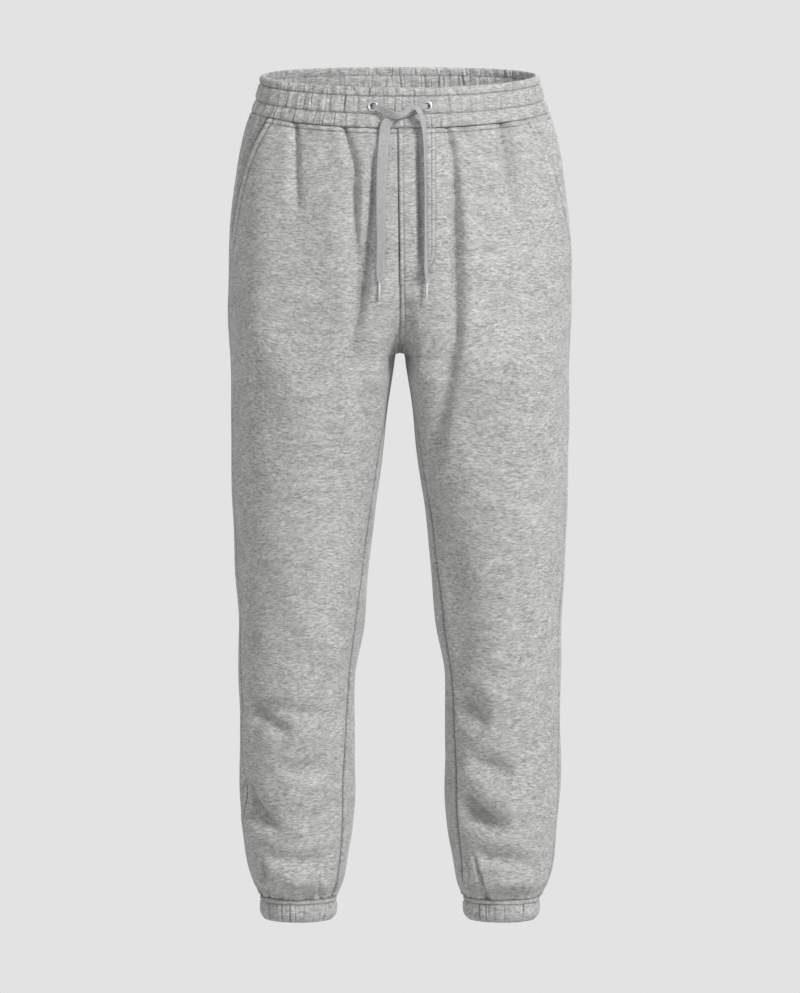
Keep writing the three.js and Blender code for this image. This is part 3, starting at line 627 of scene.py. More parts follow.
def panel(name, side, heights, start_of, end_of, count, row=None, kind="", more=None, sink=None):
    """A cut piece between two seams. row is the distance from its first edge of a row of stitches,
    kind is mouth where a pocket's mouth is part of its last edge, or back, or facing, more gives
    further dips, and sink is how far the whole piece lies in."""
    angles, distances = [], []
    for height in heights:
        start, end = float(start_of(height)), float(end_of(height))
        fine = np.linspace(start, end, ARC_STEPS)
        arc = arc_of(ring_at(height), fine)
        places = graded(arc[-1], count)
        angles.append(np.interp(places, arc, fine))
        distances.append(np.stack([places, arc[-1] - places]))
    angles = np.array(angles)
    level = heights[:, None] + np.zeros_like(angles)
    from_start, from_end = np.array(distances).transpose(1, 0, 2)
    # beside a pocket, the side seam is pressed open and hardly shows
    pocket = smooth(level, POCKET_END - 3, POCKET_END + 5)
    leg = smooth(-level, 335, 400)
    inseam = SEAM_WIDE + 1.3 * leg
    outseam = SEAM_WIDE + 0.5 * leg
    start_wide, end_wide = (outseam, inseam) if kind == "back" else (inseam, outseam)
    dip = seam_dip(from_start, wide=start_wide) * (1 - 0.8 * pocket * (kind == "back"))
    painted_dark = np.zeros_like(dip)
    pale = 0
    if row is not None:
        dip = dip + row_dip(from_start, row) * smooth(level, -335, -300)
    if kind == "mouth":
        sewn = pocket_row(level)
        dip = dip + seam_dip(from_end, wide=end_wide) * (1 - pocket) + mouth_dip(from_end, sewn) * pocket
        # painted shadow along the mouth's edge and in its row of stitches
        painted_dark = pocket * MOUTH_SHADOW[side] * (bell(from_end, 1.6) + 0.85 * bell(from_end - sewn, 1.3))
        # painted highlight on the raised strip between the mouth's edge and its row of stitches
        pale = 0.3 * pocket * MOUTH_SHADOW[side] * bell(from_end - 0.5 * sewn, 0.24 * sewn)
        # the centre seam is deepest just above the crotch
        crotch = smooth(-level, 284, 302) * (1 - smooth(-level, 307, 318))
        dip = dip + 2.4 * bell(from_start, 5) * crotch
    else:
        dip = dip + seam_dip(from_end, wide=end_wide) * (1 - 0.8 * pocket * (kind == "facing"))
    if kind != "facing":
        dip = dip + seam_dip(heights[0] - level, TOP_ROW)
        dip = dip + 0.6 * seam_dip(level - heights[-1])
    if more is not None:
        dip = dip + more(from_start, level)
    under = np.zeros_like(dip) if sink is None else sink(from_start, from_end, level)
    if kind == "facing":
        # painted shadow on the facing just under the mouth's edge
        beside = np.maximum(1 - smooth(from_start, 8, 13), 0.5 * (1 - smooth(from_start, 10, 34)))
        painted_dark = beside * MOUTH_SHADOW[side]
    # painted shade in the folds' troughs
    painted_dark = np.maximum(painted_dark, valley_shade(side, angles, level))
    outer = body_point(side, angles, level, -dip - under)
    inner = body_point(side, angles, level, -under - CLOTH - 0.3 * dip)[::2, ::2]
    points, faces = shell(outer, inner)
    # painted shade in the seams' dips, at the pocket's mouth and in the folds' troughs, less the painted
    # highlight beside the mouth
    cloth(name, points, faces, FLEECE, np.maximum(dip / SEAM_DEEP, painted_dark) - pale)


def cloth(name, points, faces, material, groove=None):
    """A piece of cloth that stands for the solid of that name."""
    piece = new_object(f"{name}_cloth", points, faces, material, groove)
    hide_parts(name)


# Camera at the photograph's place, made before anything else
camera_data = bpy.data.cameras.new("camera")
camera_data.sensor_fit = "VERTICAL"
camera_data.sensor_height = SENSOR
camera_data.lens = SENSOR * FOCAL_PIXELS / PHOTO_HEIGHT
camera_data.clip_end = 60
camera = placed("camera", camera_data)
camera.location = (0, -CAMERA_DISTANCE * MM, 0)
aim = Vector((0, CAMERA_DISTANCE, CAMERA_AIM))
camera.rotation_euler = aim.to_track_quat("-Z", "Y").to_euler()
bpy.context.scene.camera = camera


class Nodes:
    """A material's node tree, built a line at a time."""

    def __init__(self, name, slot):
        self.material = bpy.data.materials.new(name)
        self.material.use_nodes = True
        self.tree = self.material.node_tree
        self.shader = self.tree.nodes["Principled BSDF"]
        self.coordinates = self.tree.nodes.new("ShaderNodeTexCoord").outputs["Object"]

    def feed(self, node, inputs):
        """Links sockets to a node's inputs, or sets them to plain values."""
        for key, value in inputs.items():
            if isinstance(value, bpy.types.NodeSocket):
                self.tree.links.new(value, node.inputs[key])
            else:
                node.inputs[key].default_value = value

    def add(self, kind, inputs, **settings):
        node = self.tree.nodes.new("ShaderNode" + kind)
        for key, value in settings.items():
            setattr(node, key, value)
        self.feed(node, inputs)
        return node

    def noise(self, scale, stretch=(1, 1, 1), detail=2.0, rough=0.5, warp=0.0, place=None):
        moved = self.add("Mapping", {"Vector": place or self.coordinates, "Scale": stretch}).outputs[0]
        inputs = {"Vector": moved, "Scale": scale, "Detail": detail, "Roughness": rough, "Distortion": warp}
        return self.add("TexNoise", inputs).outputs["Fac"]

    def ramp(self, factor, *stops):
        node = self.add("ValToRGB", {"Fac": factor})
        ramp = node.color_ramp
        while len(ramp.elements) < len(stops):
            ramp.elements.new(0.5)
        for element, (place, grey) in zip(ramp.elements, stops):
            element.position = place
            element.color = (grey, grey, grey, 1)
        return node.outputs["Color"]

    def maths(self, operation, a, b):
        return self.add("Math", {0: a, 1: b}, operation=operation).outputs[0]

    def times(self, a, b):
        """The product of two colours."""
        node = self.add("Mix", {0: 1.0, 6: a, 7: b}, data_type="RGBA", blend_type="MULTIPLY")
        return node.outputs[2]

    def bump(self, height, strength, distance, before=None):
        inputs = {"Height": height, "Strength": strength, "Distance": distance}
        if before is not None:
            inputs["Normal"] = before
        return self.add("Bump", inputs).outputs["Normal"]

    def set(self, **values):
        self.feed(self.shader, {key.replace("_", " "): value for key, value in values.items()})
        return self.material


def make_fleece(name, dark, middle, light, tint=(1.0, 0.997, 0.982, 1)):
    """Heather grey: short streaks of pale and dark fibre, mostly level, over soft larger mottling."""
    n = Nodes(name, "fleece")
    # the streaks drift up and down along the cloth
    drift = n.maths("MULTIPLY", n.noise(7), 0.05)
    lift = n.add("CombineXYZ", {"Z": drift}).outputs[0]
    moved = n.add("VectorMath", {0: n.coordinates, 1: lift}, operation="ADD").outputs[0]
    streak = n.noise(165, (1, 1, 3.9), 2.0, 0.55, 0.7, moved)
    strand = n.noise(430, (1, 1, 3.0), 2.0, 0.6, 0.5, moved)
    blotch = n.noise(34, (1, 1, 2.2), 3.0, 0.6, 0.4, moved)
    both = n.maths("ADD", n.maths("MULTIPLY", streak, 0.7), n.maths("MULTIPLY", strand, 0.3))
    colour = n.ramp(both, (0.36, dark), (0.5, middle), (0.64, light))
    shade = n.ramp(blotch, (0.3, 0.87), (0.7, 1.1))
    # painted shade from the groove attribute darkens the colour above 0, and painted light makes it paler below 0
    groove = n.maths("MULTIPLY", n.add("Attribute", {}, attribute_name="groove").outputs["Fac"], 0.5)
    painted_tone = n.ramp(n.maths("ADD", groove, 0.5), (0.0, 1.5), (0.5, 1.0), (0.55, 1.0), (1.0, 0.46))
    colour = n.times(n.times(n.times(colour, shade), tint), painted_tone)
    fuzz = n.noise(900, (1, 1, 1.4), 2.0, 0.6)
    normal = n.bump(both, 0.3, 0.001, n.bump(fuzz, 0.35, 0.0006))
    normal = n.bump(n.noise(95, (1, 1, 1.5)), 0.25, 0.0024, normal)
    return n.set(
        Base_Color=colour,
        Roughness=0.93,
        Normal=normal,
        Specular_IOR_Level=0.18,
        Sheen_Weight=0.22,
        Sheen_Roughness=0.55,
        Sheen_Tint=(1, 1, 1, 1),
    )


def make_tape():
    n = Nodes("drawstring_tape", "cord")
    weave = n.add(
        "TexWave",
        {"Vector": n.coordinates, "Scale": 420, "Distortion": 1.6, "Detail": 1.0, "Detail Scale": 2.0},
        wave_type="BANDS",
        bands_direction="DIAGONAL",
    ).outputs["Fac"]
    fleck = n.noise(700, (1, 1, 0.5), 2.0, 0.6)
    colour = n.times(n.ramp(fleck, (0.3, 0.34), (0.7, 0.49)), n.ramp(weave, (0.0, 0.9), (1.0, 1.04)))
    normal = n.bump(weave, 0.4, 0.0004, n.bump(fleck, 0.3, 0.0005))
    return n.set(Base_Color=colour, Roughness=0.85, Normal=normal, Specular_IOR_Level=0.25, Sheen_Weight=0.1)


def make_thread(name, dark, light):
    n = Nodes(name, "cord")
    twist = n.noise(1500, detail=1.0)
    colour = n.ramp(twist, (0.35, dark), (0.65, light))
    return n.set(Base_Color=colour, Roughness=0.7, Normal=n.bump(twist, 0.3, 0.0003))


def make_metal(name, colour, rough):
    n = Nodes(name, "metal")
    scratch = n.noise(340, (1, 1, 6), 3.0, 0.6)
    roughness = n.ramp(scratch, (0.3, rough), (0.7, rough + 0.16))
    tone = n.ramp(n.noise(120), (0.3, colour * 0.9), (0.7, colour))
    return n.set(Base_Color=tone, Metallic=1.0, Roughness=roughness, Normal=n.bump(scratch, 0.1, 0.0002))


FLEECE = make_fleece("heather_fleece", 0.26, 0.43, 0.6)
FLEECE_BAND = make_fleece("heather_fleece_band", 0.26, 0.42, 0.59)
TAPE = make_tape()
THREAD = make_thread("stitching_thread", 0.22, 0.36)
PALE_THREAD = make_thread("bartack_thread", 0.42, 0.56)
METAL = make_metal("eyelet_metal", 0.6, 0.24)
AGLET_METAL = make_metal("aglet_tip", 0.62, 0.5)


def band_point(angle, share, out=0.0, puff=1.0):
    """Points on the waistband, out from its swelling outer face, without the gathers."""
    ring = band_at(share)
    tip = -np.sin(angle)
    x, y = on_ring(ring, angle)
    z = top_height(tip) + (seam_height(tip) - top_height(tip)) * share
    nx, ny = normal_of(ring, angle)
    push = ring["puff"] * puff + out
    return joined(x + nx * push, y + ny * push, z)


def front_place(x, z, off=0.0):
    """The place on the front at x and z, off the cloth, and the direction straight out from it."""
    share, height = 0.5, z
    for _ in range(12):
        tip = -math.sin(angle_at(band_at(share), x))
        share = float(np.clip((top_height(tip) - z) / (top_height(tip) - seam_height(tip)), 0, 1))
        tilt = seam_height(-math.sin(angle_at(ring_at(height), abs(x)))) - WAIST_SEAM
        height = z - tilt * float(smooth(height, TILT_ENDS, WAIST_SEAM))
    if share < 1:
        side, ring = 1, band_at(share)
        angle = angle_at(ring, x)
        # the tapes lie over the stitched rows, not down in them
        swell = 2.2 - 1.4 * float(smooth(share, 0.56, 1))
        place = band_point(angle, share, off + swell, 0)
    else:
        side, ring = (1 if x >= 0 else -1), ring_at(height)
        angle = angle_at(ring, abs(x))
        place = body_point(side, angle, height, off, calm=True)
    normal = normal_of(ring, angle)
    return place, np.array([float(normal[0]) * side, float(normal[1]), 0.0])


def catmull(points, steps):
    """A smooth curve through points, steps places to each span."""
    p = np.vstack([2 * points[0] - points[1], points, 2 * points[-1] - points[-2]])
    t = (np.arange(steps) / steps)[:, None]
    out = []
    for a, b, c, d in zip(p, p[1:], p[2:], p[3:]):
        bend = (2 * a - 5 * b + 4 * c - d) * t**2 + (3 * b - a - 3 * c + d) * t**3
        out.append(0.5 * (2 * b + (c - a) * t + bend))
    return np.vstack(out + [points[-1:]])


def read_rows(places, at, rows):
    """Rows of values, read at places between those where they are given."""
    rows = np.asarray(rows)
    return np.stack([np.interp(places, at, rows[:, k]) for k in range(rows.shape[1])], -1)


def unit(vectors):
    return vectors / np.maximum(np.linalg.norm(vectors, axis=-1, keepdims=True), 1e-9)


def square_to(along, vectors):
    """Unit vectors square to a line, from vectors that may lean along it."""
    return unit(vectors - along * np.sum(vectors * along, 1)[:, None])


TAPE_STEPS = 12
TAPE_THICK = 1.6
# A quarter of the tape's section, as shares of its half width and half thickness, and the whole
TAPE_QUARTER = [(1, 0), (0.97, 0.55), (0.9, 0.92), (0.7, 1), (0.35, 0.93)]
TAPE_HALF = [*TAPE_QUARTER, (0, 0.88), *((-x, y) for x, y in TAPE_QUARTER[:0:-1])]
TAPE_SECTION = np.array(TAPE_HALF + [(-x, -y) for x, y in TAPE_HALF])


def tape(name, aglet_name, route):
    spots, normals = zip(*(front_place(x, z, off) for x, z, off in zip(route["x"], route["z"], route["off"])))
    path = catmull(np.array(spots), TAPE_STEPS)
    place = np.arange(len(path)) / TAPE_STEPS
    knots = np.arange(len(spots))
    normal = read_rows(place, knots, normals)
    lie = read_rows(place, knots, joined(route["right"], route["out"], route["up"]))
    along = unit(np.gradient(path, axis=0))
    across = square_to(along, joined(lie[:, 0], 0, lie[:, 2]) + normal * lie[:, 1:2])
    half = np.interp(place, knots, route["width"])[:, None] / 2
    wide = across[:, None] * (half * TAPE_SECTION[:, 0])[..., None]
    thick = np.cross(along, across)[:, None] * (TAPE_THICK / 2 * TAPE_SECTION[:, 1])[None, :, None]
    points = (path[:, None] + wide + thick).reshape(-1, 3)
    faces = tube_faces(len(path), len(TAPE_SECTION))
    obj = new_object(f"{name}_tape", points, outward(points, faces), TAPE)
    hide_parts(name)
    tip = aglet(aglet_name, path[-1])
    length = float(np.sum(np.linalg.norm(np.diff(path, axis=0), axis=1))) * MM
    return length


def lathe(profile, segments):
    """Rings of points turned about Z from (radius, height) pairs."""
    turn = 2 * PI * np.arange(segments) / segments
    return np.array([(r * math.cos(a), r * math.sin(a), h) for r, h in profile for a in turn])


AGLET_RADIUS, AGLET_LENGTH, AGLET_SIDES = 1.6, 21.0, 20
AGLET_PROFILE = [
    (0.5, 0), (1.25, -0.1), (AGLET_RADIUS, -0.5), (AGLET_RADIUS, -3), (AGLET_RADIUS - 0.14, -3.4),
    (AGLET_RADIUS, -3.8), (AGLET_RADIUS, -AGLET_LENGTH + 0.8), (AGLET_RADIUS - 0.25, -AGLET_LENGTH + 0.25),
    (0.5, -AGLET_LENGTH),
]


def aglet(name, top):
    points = lathe(AGLET_PROFILE, AGLET_SIDES) + top + np.array([0, 0, -0.2])
    faces = tube_faces(len(AGLET_PROFILE), AGLET_SIDES)
    obj = new_object(f"{name}_tip", points, outward(points, faces), AGLET_METAL)
    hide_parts(name)
    return obj


cord_lengths = [
    tape("drawstring_left", "aglet_left", LEFT_EYELET_END),
    tape("drawstring_right", "aglet_right", RIGHT_EYELET_END),
]

FLY_WIDE, FLY_LEFT, FLY_STRAIGHT, FLY_BOTTOM = 44.0, -2.4, -178.0, -219.0
FLY_ROWS = (7.3, 2.4)  # double row of stitches, in from the outer edge
FLY_EDGE_ROW = 5.0  # a row beside the overlapping edge

# The panels. Heights are graded towards the waist and cuff seams.
ROW_HEIGHTS = WAIST_SEAM - graded(WAIST_SEAM - CUFF_SEAM, 301)
CROTCH_ROWS = CROTCH + np.array([0.9, 0.1, -0.4, -0.9, -1.7, -2.9])
ROW_HEIGHTS = np.sort(np.r_[ROW_HEIGHTS, CROTCH_ROWS])[::-1]
FRONT_SPANS, BACK_SPANS, FACING_SPANS = 128, 136, 48


def even(values):
    """An odd number of rows, so that the inner wall can take every second one."""
    return values if len(values) % 2 else values[:-1]


def facing_sink(from_start, from_end, level):
    """The facing lies under the mouth and comes up to the side seam."""
    deep = 0.5 + 1.9 * smooth(level, POCKET_END, -60)
    return deep * (1 - smooth(from_start, 7, 30)) * smooth(from_end, 0, 12)


def facing_start(height):
    ring = ring_at(height)
    angle = pocket_angle(height)
    return float(angle - 5.0 / speed_of(ring, angle))


def fly_left(height):
    """Where the fly's overlapping edge lies. It slants in to the centre seam at its foot."""
    return FLY_LEFT * (1 - np.clip((WAIST_SEAM - height) / (WAIST_SEAM - FLY_BOTTOM), 0, 1)) + 0.3


def beside_fly(from_start, level):
    """The groove in the wearer's right front along the fly's overlapping edge."""
    return 1.6 * bell(from_start + fly_left(level) - 0.9, 0.9) * smooth(level, FLY_BOTTOM - 2, FLY_BOTTOM + 4)


facing_heights = even(ROW_HEIGHTS[ROW_HEIGHTS > POCKET_END + 7])
for side, wearer in SIDES:
    panel(f"front_{wearer}", side, ROW_HEIGHTS, rise_angle, pocket_angle, FRONT_SPANS + 1, kind="mouth",
          row=CENTRE_ROW if side == 1 else None, more=beside_fly if side == -1 else None)
    panel(f"back_{wearer}", side, ROW_HEIGHTS, side_angle, back_rise_angle, BACK_SPANS + 1, kind="back")
    panel(f"pocket_facing_{wearer}", side, facing_heights, facing_start, side_angle, FACING_SPANS + 1,
          kind="facing", sink=facing_sink)


def even_angles(ring, count):
    """Angles that cut a whole ring into equal lengths, and the girth."""
    fine = np.linspace(0, 2 * PI, RING_STEPS)
    arc = arc_of(ring, fine)
    return np.interp(np.arange(count) / count * arc[-1], arc, fine), arc[-1]


def gather(waves, share, shift):
    turn = 2 * PI * share
    return (0.75 + 0.25 * np.cos(5 * turn + shift)) * np.cos(waves * turn + 0.8 * np.sin(7 * turn + shift))


def puckers(rng, girth, columns, v, count, deep, wide):
    """Narrow creases where gathered cloth meets a row of stitches, on a grid of rows v by columns
    round a girth. v is 0 at one row of stitches and 1 at the next."""
    total = np.zeros((len(v), columns))
    inside = smooth(v, -0.06, 0.08) * (1 - smooth(v, 0.92, 1.06))
    spots = (np.arange(count) + rng.uniform(-0.4, 0.4, count)) * girth / count
    pitch = girth / columns
    for spot in spots:
        w = rng.uniform(*wide)
        d = rng.uniform(*deep) * rng.uniform(0.45, 1)
        lean = rng.uniform(-2.2, 2.2)
        reach = rng.uniform(0.3, 1.5)
        along = bell(v, reach) if rng.random() < 0.5 else bell(1 - v, reach)
        near = int(math.ceil(4 * w / pitch)) + 2
        cols = np.arange(int(spot / pitch) - near, int(spot / pitch) + near + 1)
        across = cols[None, :] * pitch - spot - lean * (v[:, None] - 0.5)
        crease = bell(across, w) - 0.3 * bell(np.abs(across) - 2.1 * w, w)
        total[:, cols % columns] += d * crease * (along * inside)[:, None]
    return total


# The waistband
BAND_COLUMNS = 1360
BAND_SHARES = np.concatenate([
    np.linspace(0, 0.17, 8), [0.19, 0.2, 0.21, 0.22, 0.23, 0.24, 0.25], np.linspace(0.28, 0.6, 12),
    [0.62, 0.635, 0.648, 0.66, 0.672, 0.685, 0.7], np.linspace(0.73, 1, 11),
])
BAND_STITCHED = (0.22, 0.66, 1.0)
# The three channels, each from one share to another, and how many puckers meet its stitches
BAND_CHANNELS = ((0.0, 0.22, 112), (0.22, 0.66, 104), (0.66, 1.0, 76))
band_angles, band_girth = even_angles(band_at(0.5), BAND_COLUMNS)


def band_texture(seed, strength):
    """The waistband's gathers: broad waves in each channel and narrow puckers at its stitches."""
    rng = np.random.default_rng(seed)
    place = np.arange(BAND_COLUMNS) / BAND_COLUMNS
    total = np.zeros((len(BAND_SHARES), BAND_COLUMNS))
    for k, (low, high, count) in enumerate(BAND_CHANNELS):
        v = (BAND_SHARES - low) / (high - low)
        inside = smooth(v, -0.1, 0.15) * (1 - smooth(v, 0.85, 1.1))
        total += 0.6 * gather(56, place, 2.4 * k)[None, :] * inside[:, None]
        total -= strength * puckers(rng, band_girth, BAND_COLUMNS, v, count, (0.5, 2.1), (0.6, 1.5))
    return total


def eyelet_distance(points):
    """How far places on the front of the band are from the nearer eyelet."""
    near = np.hypot(np.abs(points[..., 0]) - EYELET_X, points[..., 2] - EYELET_Z)
    return np.where(points[..., 1] < 0, near, 99)


def band_grid(out, seed, strength, puff=1.0, hole=0.0):
    """The band's face, and painted shade at each point: dark in its puckers, eyelet holes and stitched rows."""
    shares, angles = BAND_SHARES[:, None], band_angles[None, :]
    flat = band_point(angles, shares)
    near = eyelet_distance(flat)
    # the light side of the front is smoother
    side_fade = 0.5 + 0.5 * smooth(-flat[..., 0], -120, 40)
    side_fade = np.where(np.sin(angles) > 0, side_fade, 1)
    texture = band_texture(seed, strength) * (1 - np.exp(-((near / 11) ** 4))) * side_fade
    texture = texture - hole * (1 - smooth(near, 2.6, 3.8))
    rows = sum(bell(shares - share, 0.016) for share in BAND_STITCHED) * np.sign(puff)
    return band_point(angles, shares, out + texture, puff), -texture / PUCKER_DEEP + 0.7 * rows


PUCKER_DEEP = 2.2  # a pucker this deep gets the full painted shade
LINING_PAINTED_LIGHT = 0.7  # painted light on the inside of the band, full on the wearer's left, where the key light falls
band_outer, band_groove = band_grid(0.0, 11, 1.0, hole=2.6)
band_inner, lining_groove = band_grid(-BAND, 23, -1.0, -0.35)
# painted light on the inside of the band, fading out 125 mm towards the wearer's right of the centre
lining_painted_light = LINING_PAINTED_LIGHT * smooth(band_inner[::2, :, 0], -125, 0)
band_groove = np.concatenate([band_groove, np.maximum(-lining_groove[::2], 0) - lining_painted_light])
cloth("waistband", *shell(band_outer, band_inner[::2], wrap=True), FLEECE_BAND, band_groove)

# The cuffs
CUFF_COLUMNS = 520
CUFF_HEIGHTS = np.array([
    -965.7, -966.2, -966.8, -967.6, -968.6, -969.8, -970.8, -971.3, -971.8, -972.3, -972.9, -974, -975.5,
    -977.5, -979.5, -981.5, -983.5, -985.5, -987.5, -989.3, -990.8, -992, -993, -993.7, HEM,
])
CUFF_STITCH = -971.8
CUFF_RING = ring_at(CUFF_SEAM)
CUFF_SEEDS = {1: 31, -1: 37}
cuff_angles, cuff_girth = even_angles(CUFF_RING, CUFF_COLUMNS)
# Pleats that stand out on the front of the cuffs: where, and how deep
CUFF_PLEATS = {1: ((82, 1.0), (95, 1.6), (103, 1.9), (113, 1.0)), -1: ((133, 1.8), (143, 1.4), (158, 1.2))}


def cuff_grid(side, out, seed, profile=1.0):
    """A cuff's face, and painted shade at each point: dark in its puckers and stitched rows."""
    rng = np.random.default_rng(seed)
    place = np.arange(CUFF_COLUMNS) / CUFF_COLUMNS
    x, y = on_ring(CUFF_RING, cuff_angles)
    nx, ny = normal_of(CUFF_RING, cuff_angles)
    swell = read_cuff(CUFF_HEIGHTS)["out"] * profile
    band = (CUFF_SEAM - CUFF_HEIGHTS) / (CUFF_SEAM - CUFF_STITCH)
    tunnel = (CUFF_STITCH - CUFF_HEIGHTS) / (CUFF_STITCH - HEM)
    waves = 0.6 * gather(18, place, side)[None, :] * (0.35 + 0.65 * smooth(tunnel, -0.1, 0.3))[:, None]
    creases = puckers(rng, cuff_girth, CUFF_COLUMNS, band, 40, (0.4, 1.2), (0.6, 1.1))
    creases = creases + puckers(rng, cuff_girth, CUFF_COLUMNS, tunnel, 26, (0.6, 2.6), (0.7, 1.4))
    inside = smooth(tunnel, -0.15, 0.15) * (1 - smooth(tunnel, 0.9, 1.1))
    for where, deep in CUFF_PLEATS[side]:
        creases = creases + deep * bell(x - where, 1.1) * (y < 0) * inside[:, None]
    push = out + swell[:, None] + waves - creases
    grid = joined((x + nx * push) * side, y + ny * push, CUFF_HEIGHTS[:, None])
    rows = bell(CUFF_HEIGHTS - CUFF_STITCH, 0.8) + bell(CUFF_HEIGHTS - CUFF_SEAM, 0.9)
    return grid, creases / PUCKER_DEEP + 0.8 * rows[:, None]


cuff_faces = {}
for side, wearer in SIDES:
    cuff_faces[side], groove = cuff_grid(side, 0.0, CUFF_SEEDS[side])
    back, _ = cuff_grid(side, -BAND, CUFF_SEEDS[side] + 1, 0.3)
    cloth(f"cuff_{wearer}", *shell(cuff_faces[side], back[::2, ::2], wrap=True), FLEECE_BAND, groove)

# The mock fly lies on the front with its outer edge sewn down flat, in the shape of a J


def front_skin(x, height, out=0.0):
    """Points on the front at x, on either side of the centre."""
    ring = ring_at(height)
    angle = angle_at(ring, np.abs(x))
    left, right = body_point(1, angle, height, out), body_point(-1, angle, height, out)
    left[..., 0] = np.where(np.abs(x) < 1, x, left[..., 0])
    right[..., 0] = np.where(np.abs(x) < 1, x, right[..., 0])
    return np.where((np.asarray(x) >= 0)[..., None], left, right)


def fly_inset(x, height):
    """How far a place is in from the fly's outer edge."""
    fall = np.clip((FLY_STRAIGHT - height) / (FLY_STRAIGHT - FLY_BOTTOM), 0, 1)
    return FLY_WIDE * (1 - np.hypot(np.maximum(x, 0) / FLY_WIDE, fall))


def fly_lift(x, height):
    """How far the fly's face stands off the front, with its edges and rows of stitches."""
    inset = fly_inset(x, height)
    from_left = x - fly_left(height)
    lift = -0.7 + 1.5 * smooth(inset, 0, 2.2)
    for row in FLY_ROWS:
        lift = lift - 0.9 * bell(inset - row, 0.85)
    lift = lift - 0.9 * bell(from_left - FLY_EDGE_ROW, 0.85) + 0.9 * bell(from_left - 2, 1.7)
    return lift - bell(from_left, 0.6) - seam_dip(WAIST_SEAM - height, TOP_ROW)


fly_across = np.linspace(0, 1, 61)[None, :]
fly_share = np.r_[np.linspace(0, 0.07, 15), np.linspace(0.077, 1, 138)][:, None]
fly_floor = FLY_STRAIGHT + (FLY_BOTTOM - FLY_STRAIGHT) * np.sqrt(1 - (fly_across * 0.999) ** 2)
fly_heights = WAIST_SEAM + (fly_floor - WAIST_SEAM) * fly_share
fly_x = fly_left(fly_heights) + (FLY_WIDE - fly_left(fly_heights)) * fly_across
lift = fly_lift(fly_x, fly_heights)
fly_outer = front_skin(fly_x, fly_heights, lift)
fly_inner = front_skin(fly_x, fly_heights, -0.9)[::2, ::2]
fly_angles = angle_at(ring_at(fly_heights), np.abs(fly_x))
# painted shade in the fly's dips and rows of stitches and in the folds' troughs
fly_groove = np.maximum((0.8 - lift) / SEAM_DEEP, valley_shade(1, fly_angles, fly_heights))
cloth("fly", *shell(fly_outer, fly_inner), FLEECE, fly_groove)

# The eyelets
EYELET_PROFILE = [
    (3.4, -2.2), (3.95, -2.2), (3.95, 0.1), (5.9, 0.15), (6.35, 0.3), (6.4, 0.55), (6.2, 0.85),
    (5.7, 1.15), (5.0, 1.3), (4.3, 1.25), (3.8, 0.95), (3.5, 0.5), (3.4, 0), (3.4, -2.2),
]
EYELET_SIDES = 40
EYELET_REACH = 4.0  # the cloth's slope is measured this far to each side of the middle


def slope_at(x, z, dx, dz):
    return front_place(x + dx, z + dz)[0] - front_place(x - dx, z - dz)[0]


for side, wearer in SIDES:
    x = EYELET_X * side
    normal = np.cross(slope_at(x, EYELET_Z, EYELET_REACH, 0), slope_at(x, EYELET_Z, 0, EYELET_REACH))
    turn = np.array(Vector((0, 0, 1)).rotation_difference(Vector(unit(normal).tolist())).to_matrix())
    points = lathe(EYELET_PROFILE, EYELET_SIDES) @ turn.T + front_place(x, EYELET_Z)[0]
    faces = tube_faces(len(EYELET_PROFILE), EYELET_SIDES, capped=False)
    ring_object = new_object(f"eyelet_{wearer}_ring", points, outward(points, faces), METAL)
    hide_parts(f"eyelet_{wearer}")

# Stitches: short raised dashes along each sewn row
STITCH_LENGTH, STITCH_PITCH, STITCH_RADIUS = 2.2, 3.0, 0.4
TACK = (2.4, 1.7, 0.4)  # the close stitches of a bar tack
TACK_STEP = 0.7  # from one row of a tack to the next
DASH = [(-0.5, 0.35), (-0.38, 0.9), (0.0, 1.0), (0.38, 0.9), (0.5, 0.35)]
DASH_SIDES = 6
LIE = -0.42  # how deep a row of stitches lies in its groove
PROUD = 0.12  # how far a row stands off a face that holds its groove already


def dashes(path, normals, length=STITCH_LENGTH, pitch=STITCH_PITCH, radius=STITCH_RADIUS):
    """Points and faces of the stitches along a path, which stand up along its normals."""
    arc = np.r_[0, np.cumsum(np.linalg.norm(np.diff(path, axis=0), axis=1))]
    centres = np.arange(pitch / 2, arc[-1] - pitch / 2, pitch)
    ends = [read_rows(centres + shift * length, arc, path) for shift in (-0.5, 0.5)]
    along = unit(ends[1] - ends[0])
    out = square_to(along, read_rows(centres, arc, normals))
    turn = 2 * PI * np.arange(DASH_SIDES)[:, None, None] / DASH_SIDES
    ring = np.cos(turn) * np.cross(along, out) + np.sin(turn) * out
    at = read_rows(centres, arc, path)
    points = [at + along * length * place + ring * radius * size for place, size in DASH]
    points = np.stack(points).transpose(2, 0, 1, 3).reshape(-1, 3)
    block = len(DASH) * DASH_SIDES
    one = [face[::-1] for face in tube_faces(len(DASH), DASH_SIDES)]
    return points, [tuple(k * block + v for v in face) for k in range(len(centres)) for face in one]


def stitches(name, rows, thread=THREAD):
    points, faces, count = [], [], 0
    for row in rows:
        row_points, row_faces = dashes(*row)
        points.append(row_points)
        faces.extend(tuple(v + count for v in face) for face in row_faces)
        count += len(row_points)
    new_object(name, np.concatenate(points), faces, thread)


def body_row(side, angles, heights, out=LIE):
    nx, ny = normal_of(ring_at(heights), angles)
    return body_point(side, angles, heights + 0 * angles, out), joined(nx * side, ny, 0)


def round_row(grid, places, place, ring, angles, side=1, out=1):
    """A row right round a grid, on its line nearest to a place. out is below 0 on an inner face."""
    nx, ny = normal_of(ring, angles)
    normals = joined(nx * side, ny, 0) * out
    line = grid[np.argmin(np.abs(places - place))] + normals * PROUD
    return np.vstack([line, line[:1]]), np.vstack([normals, normals[:1]])


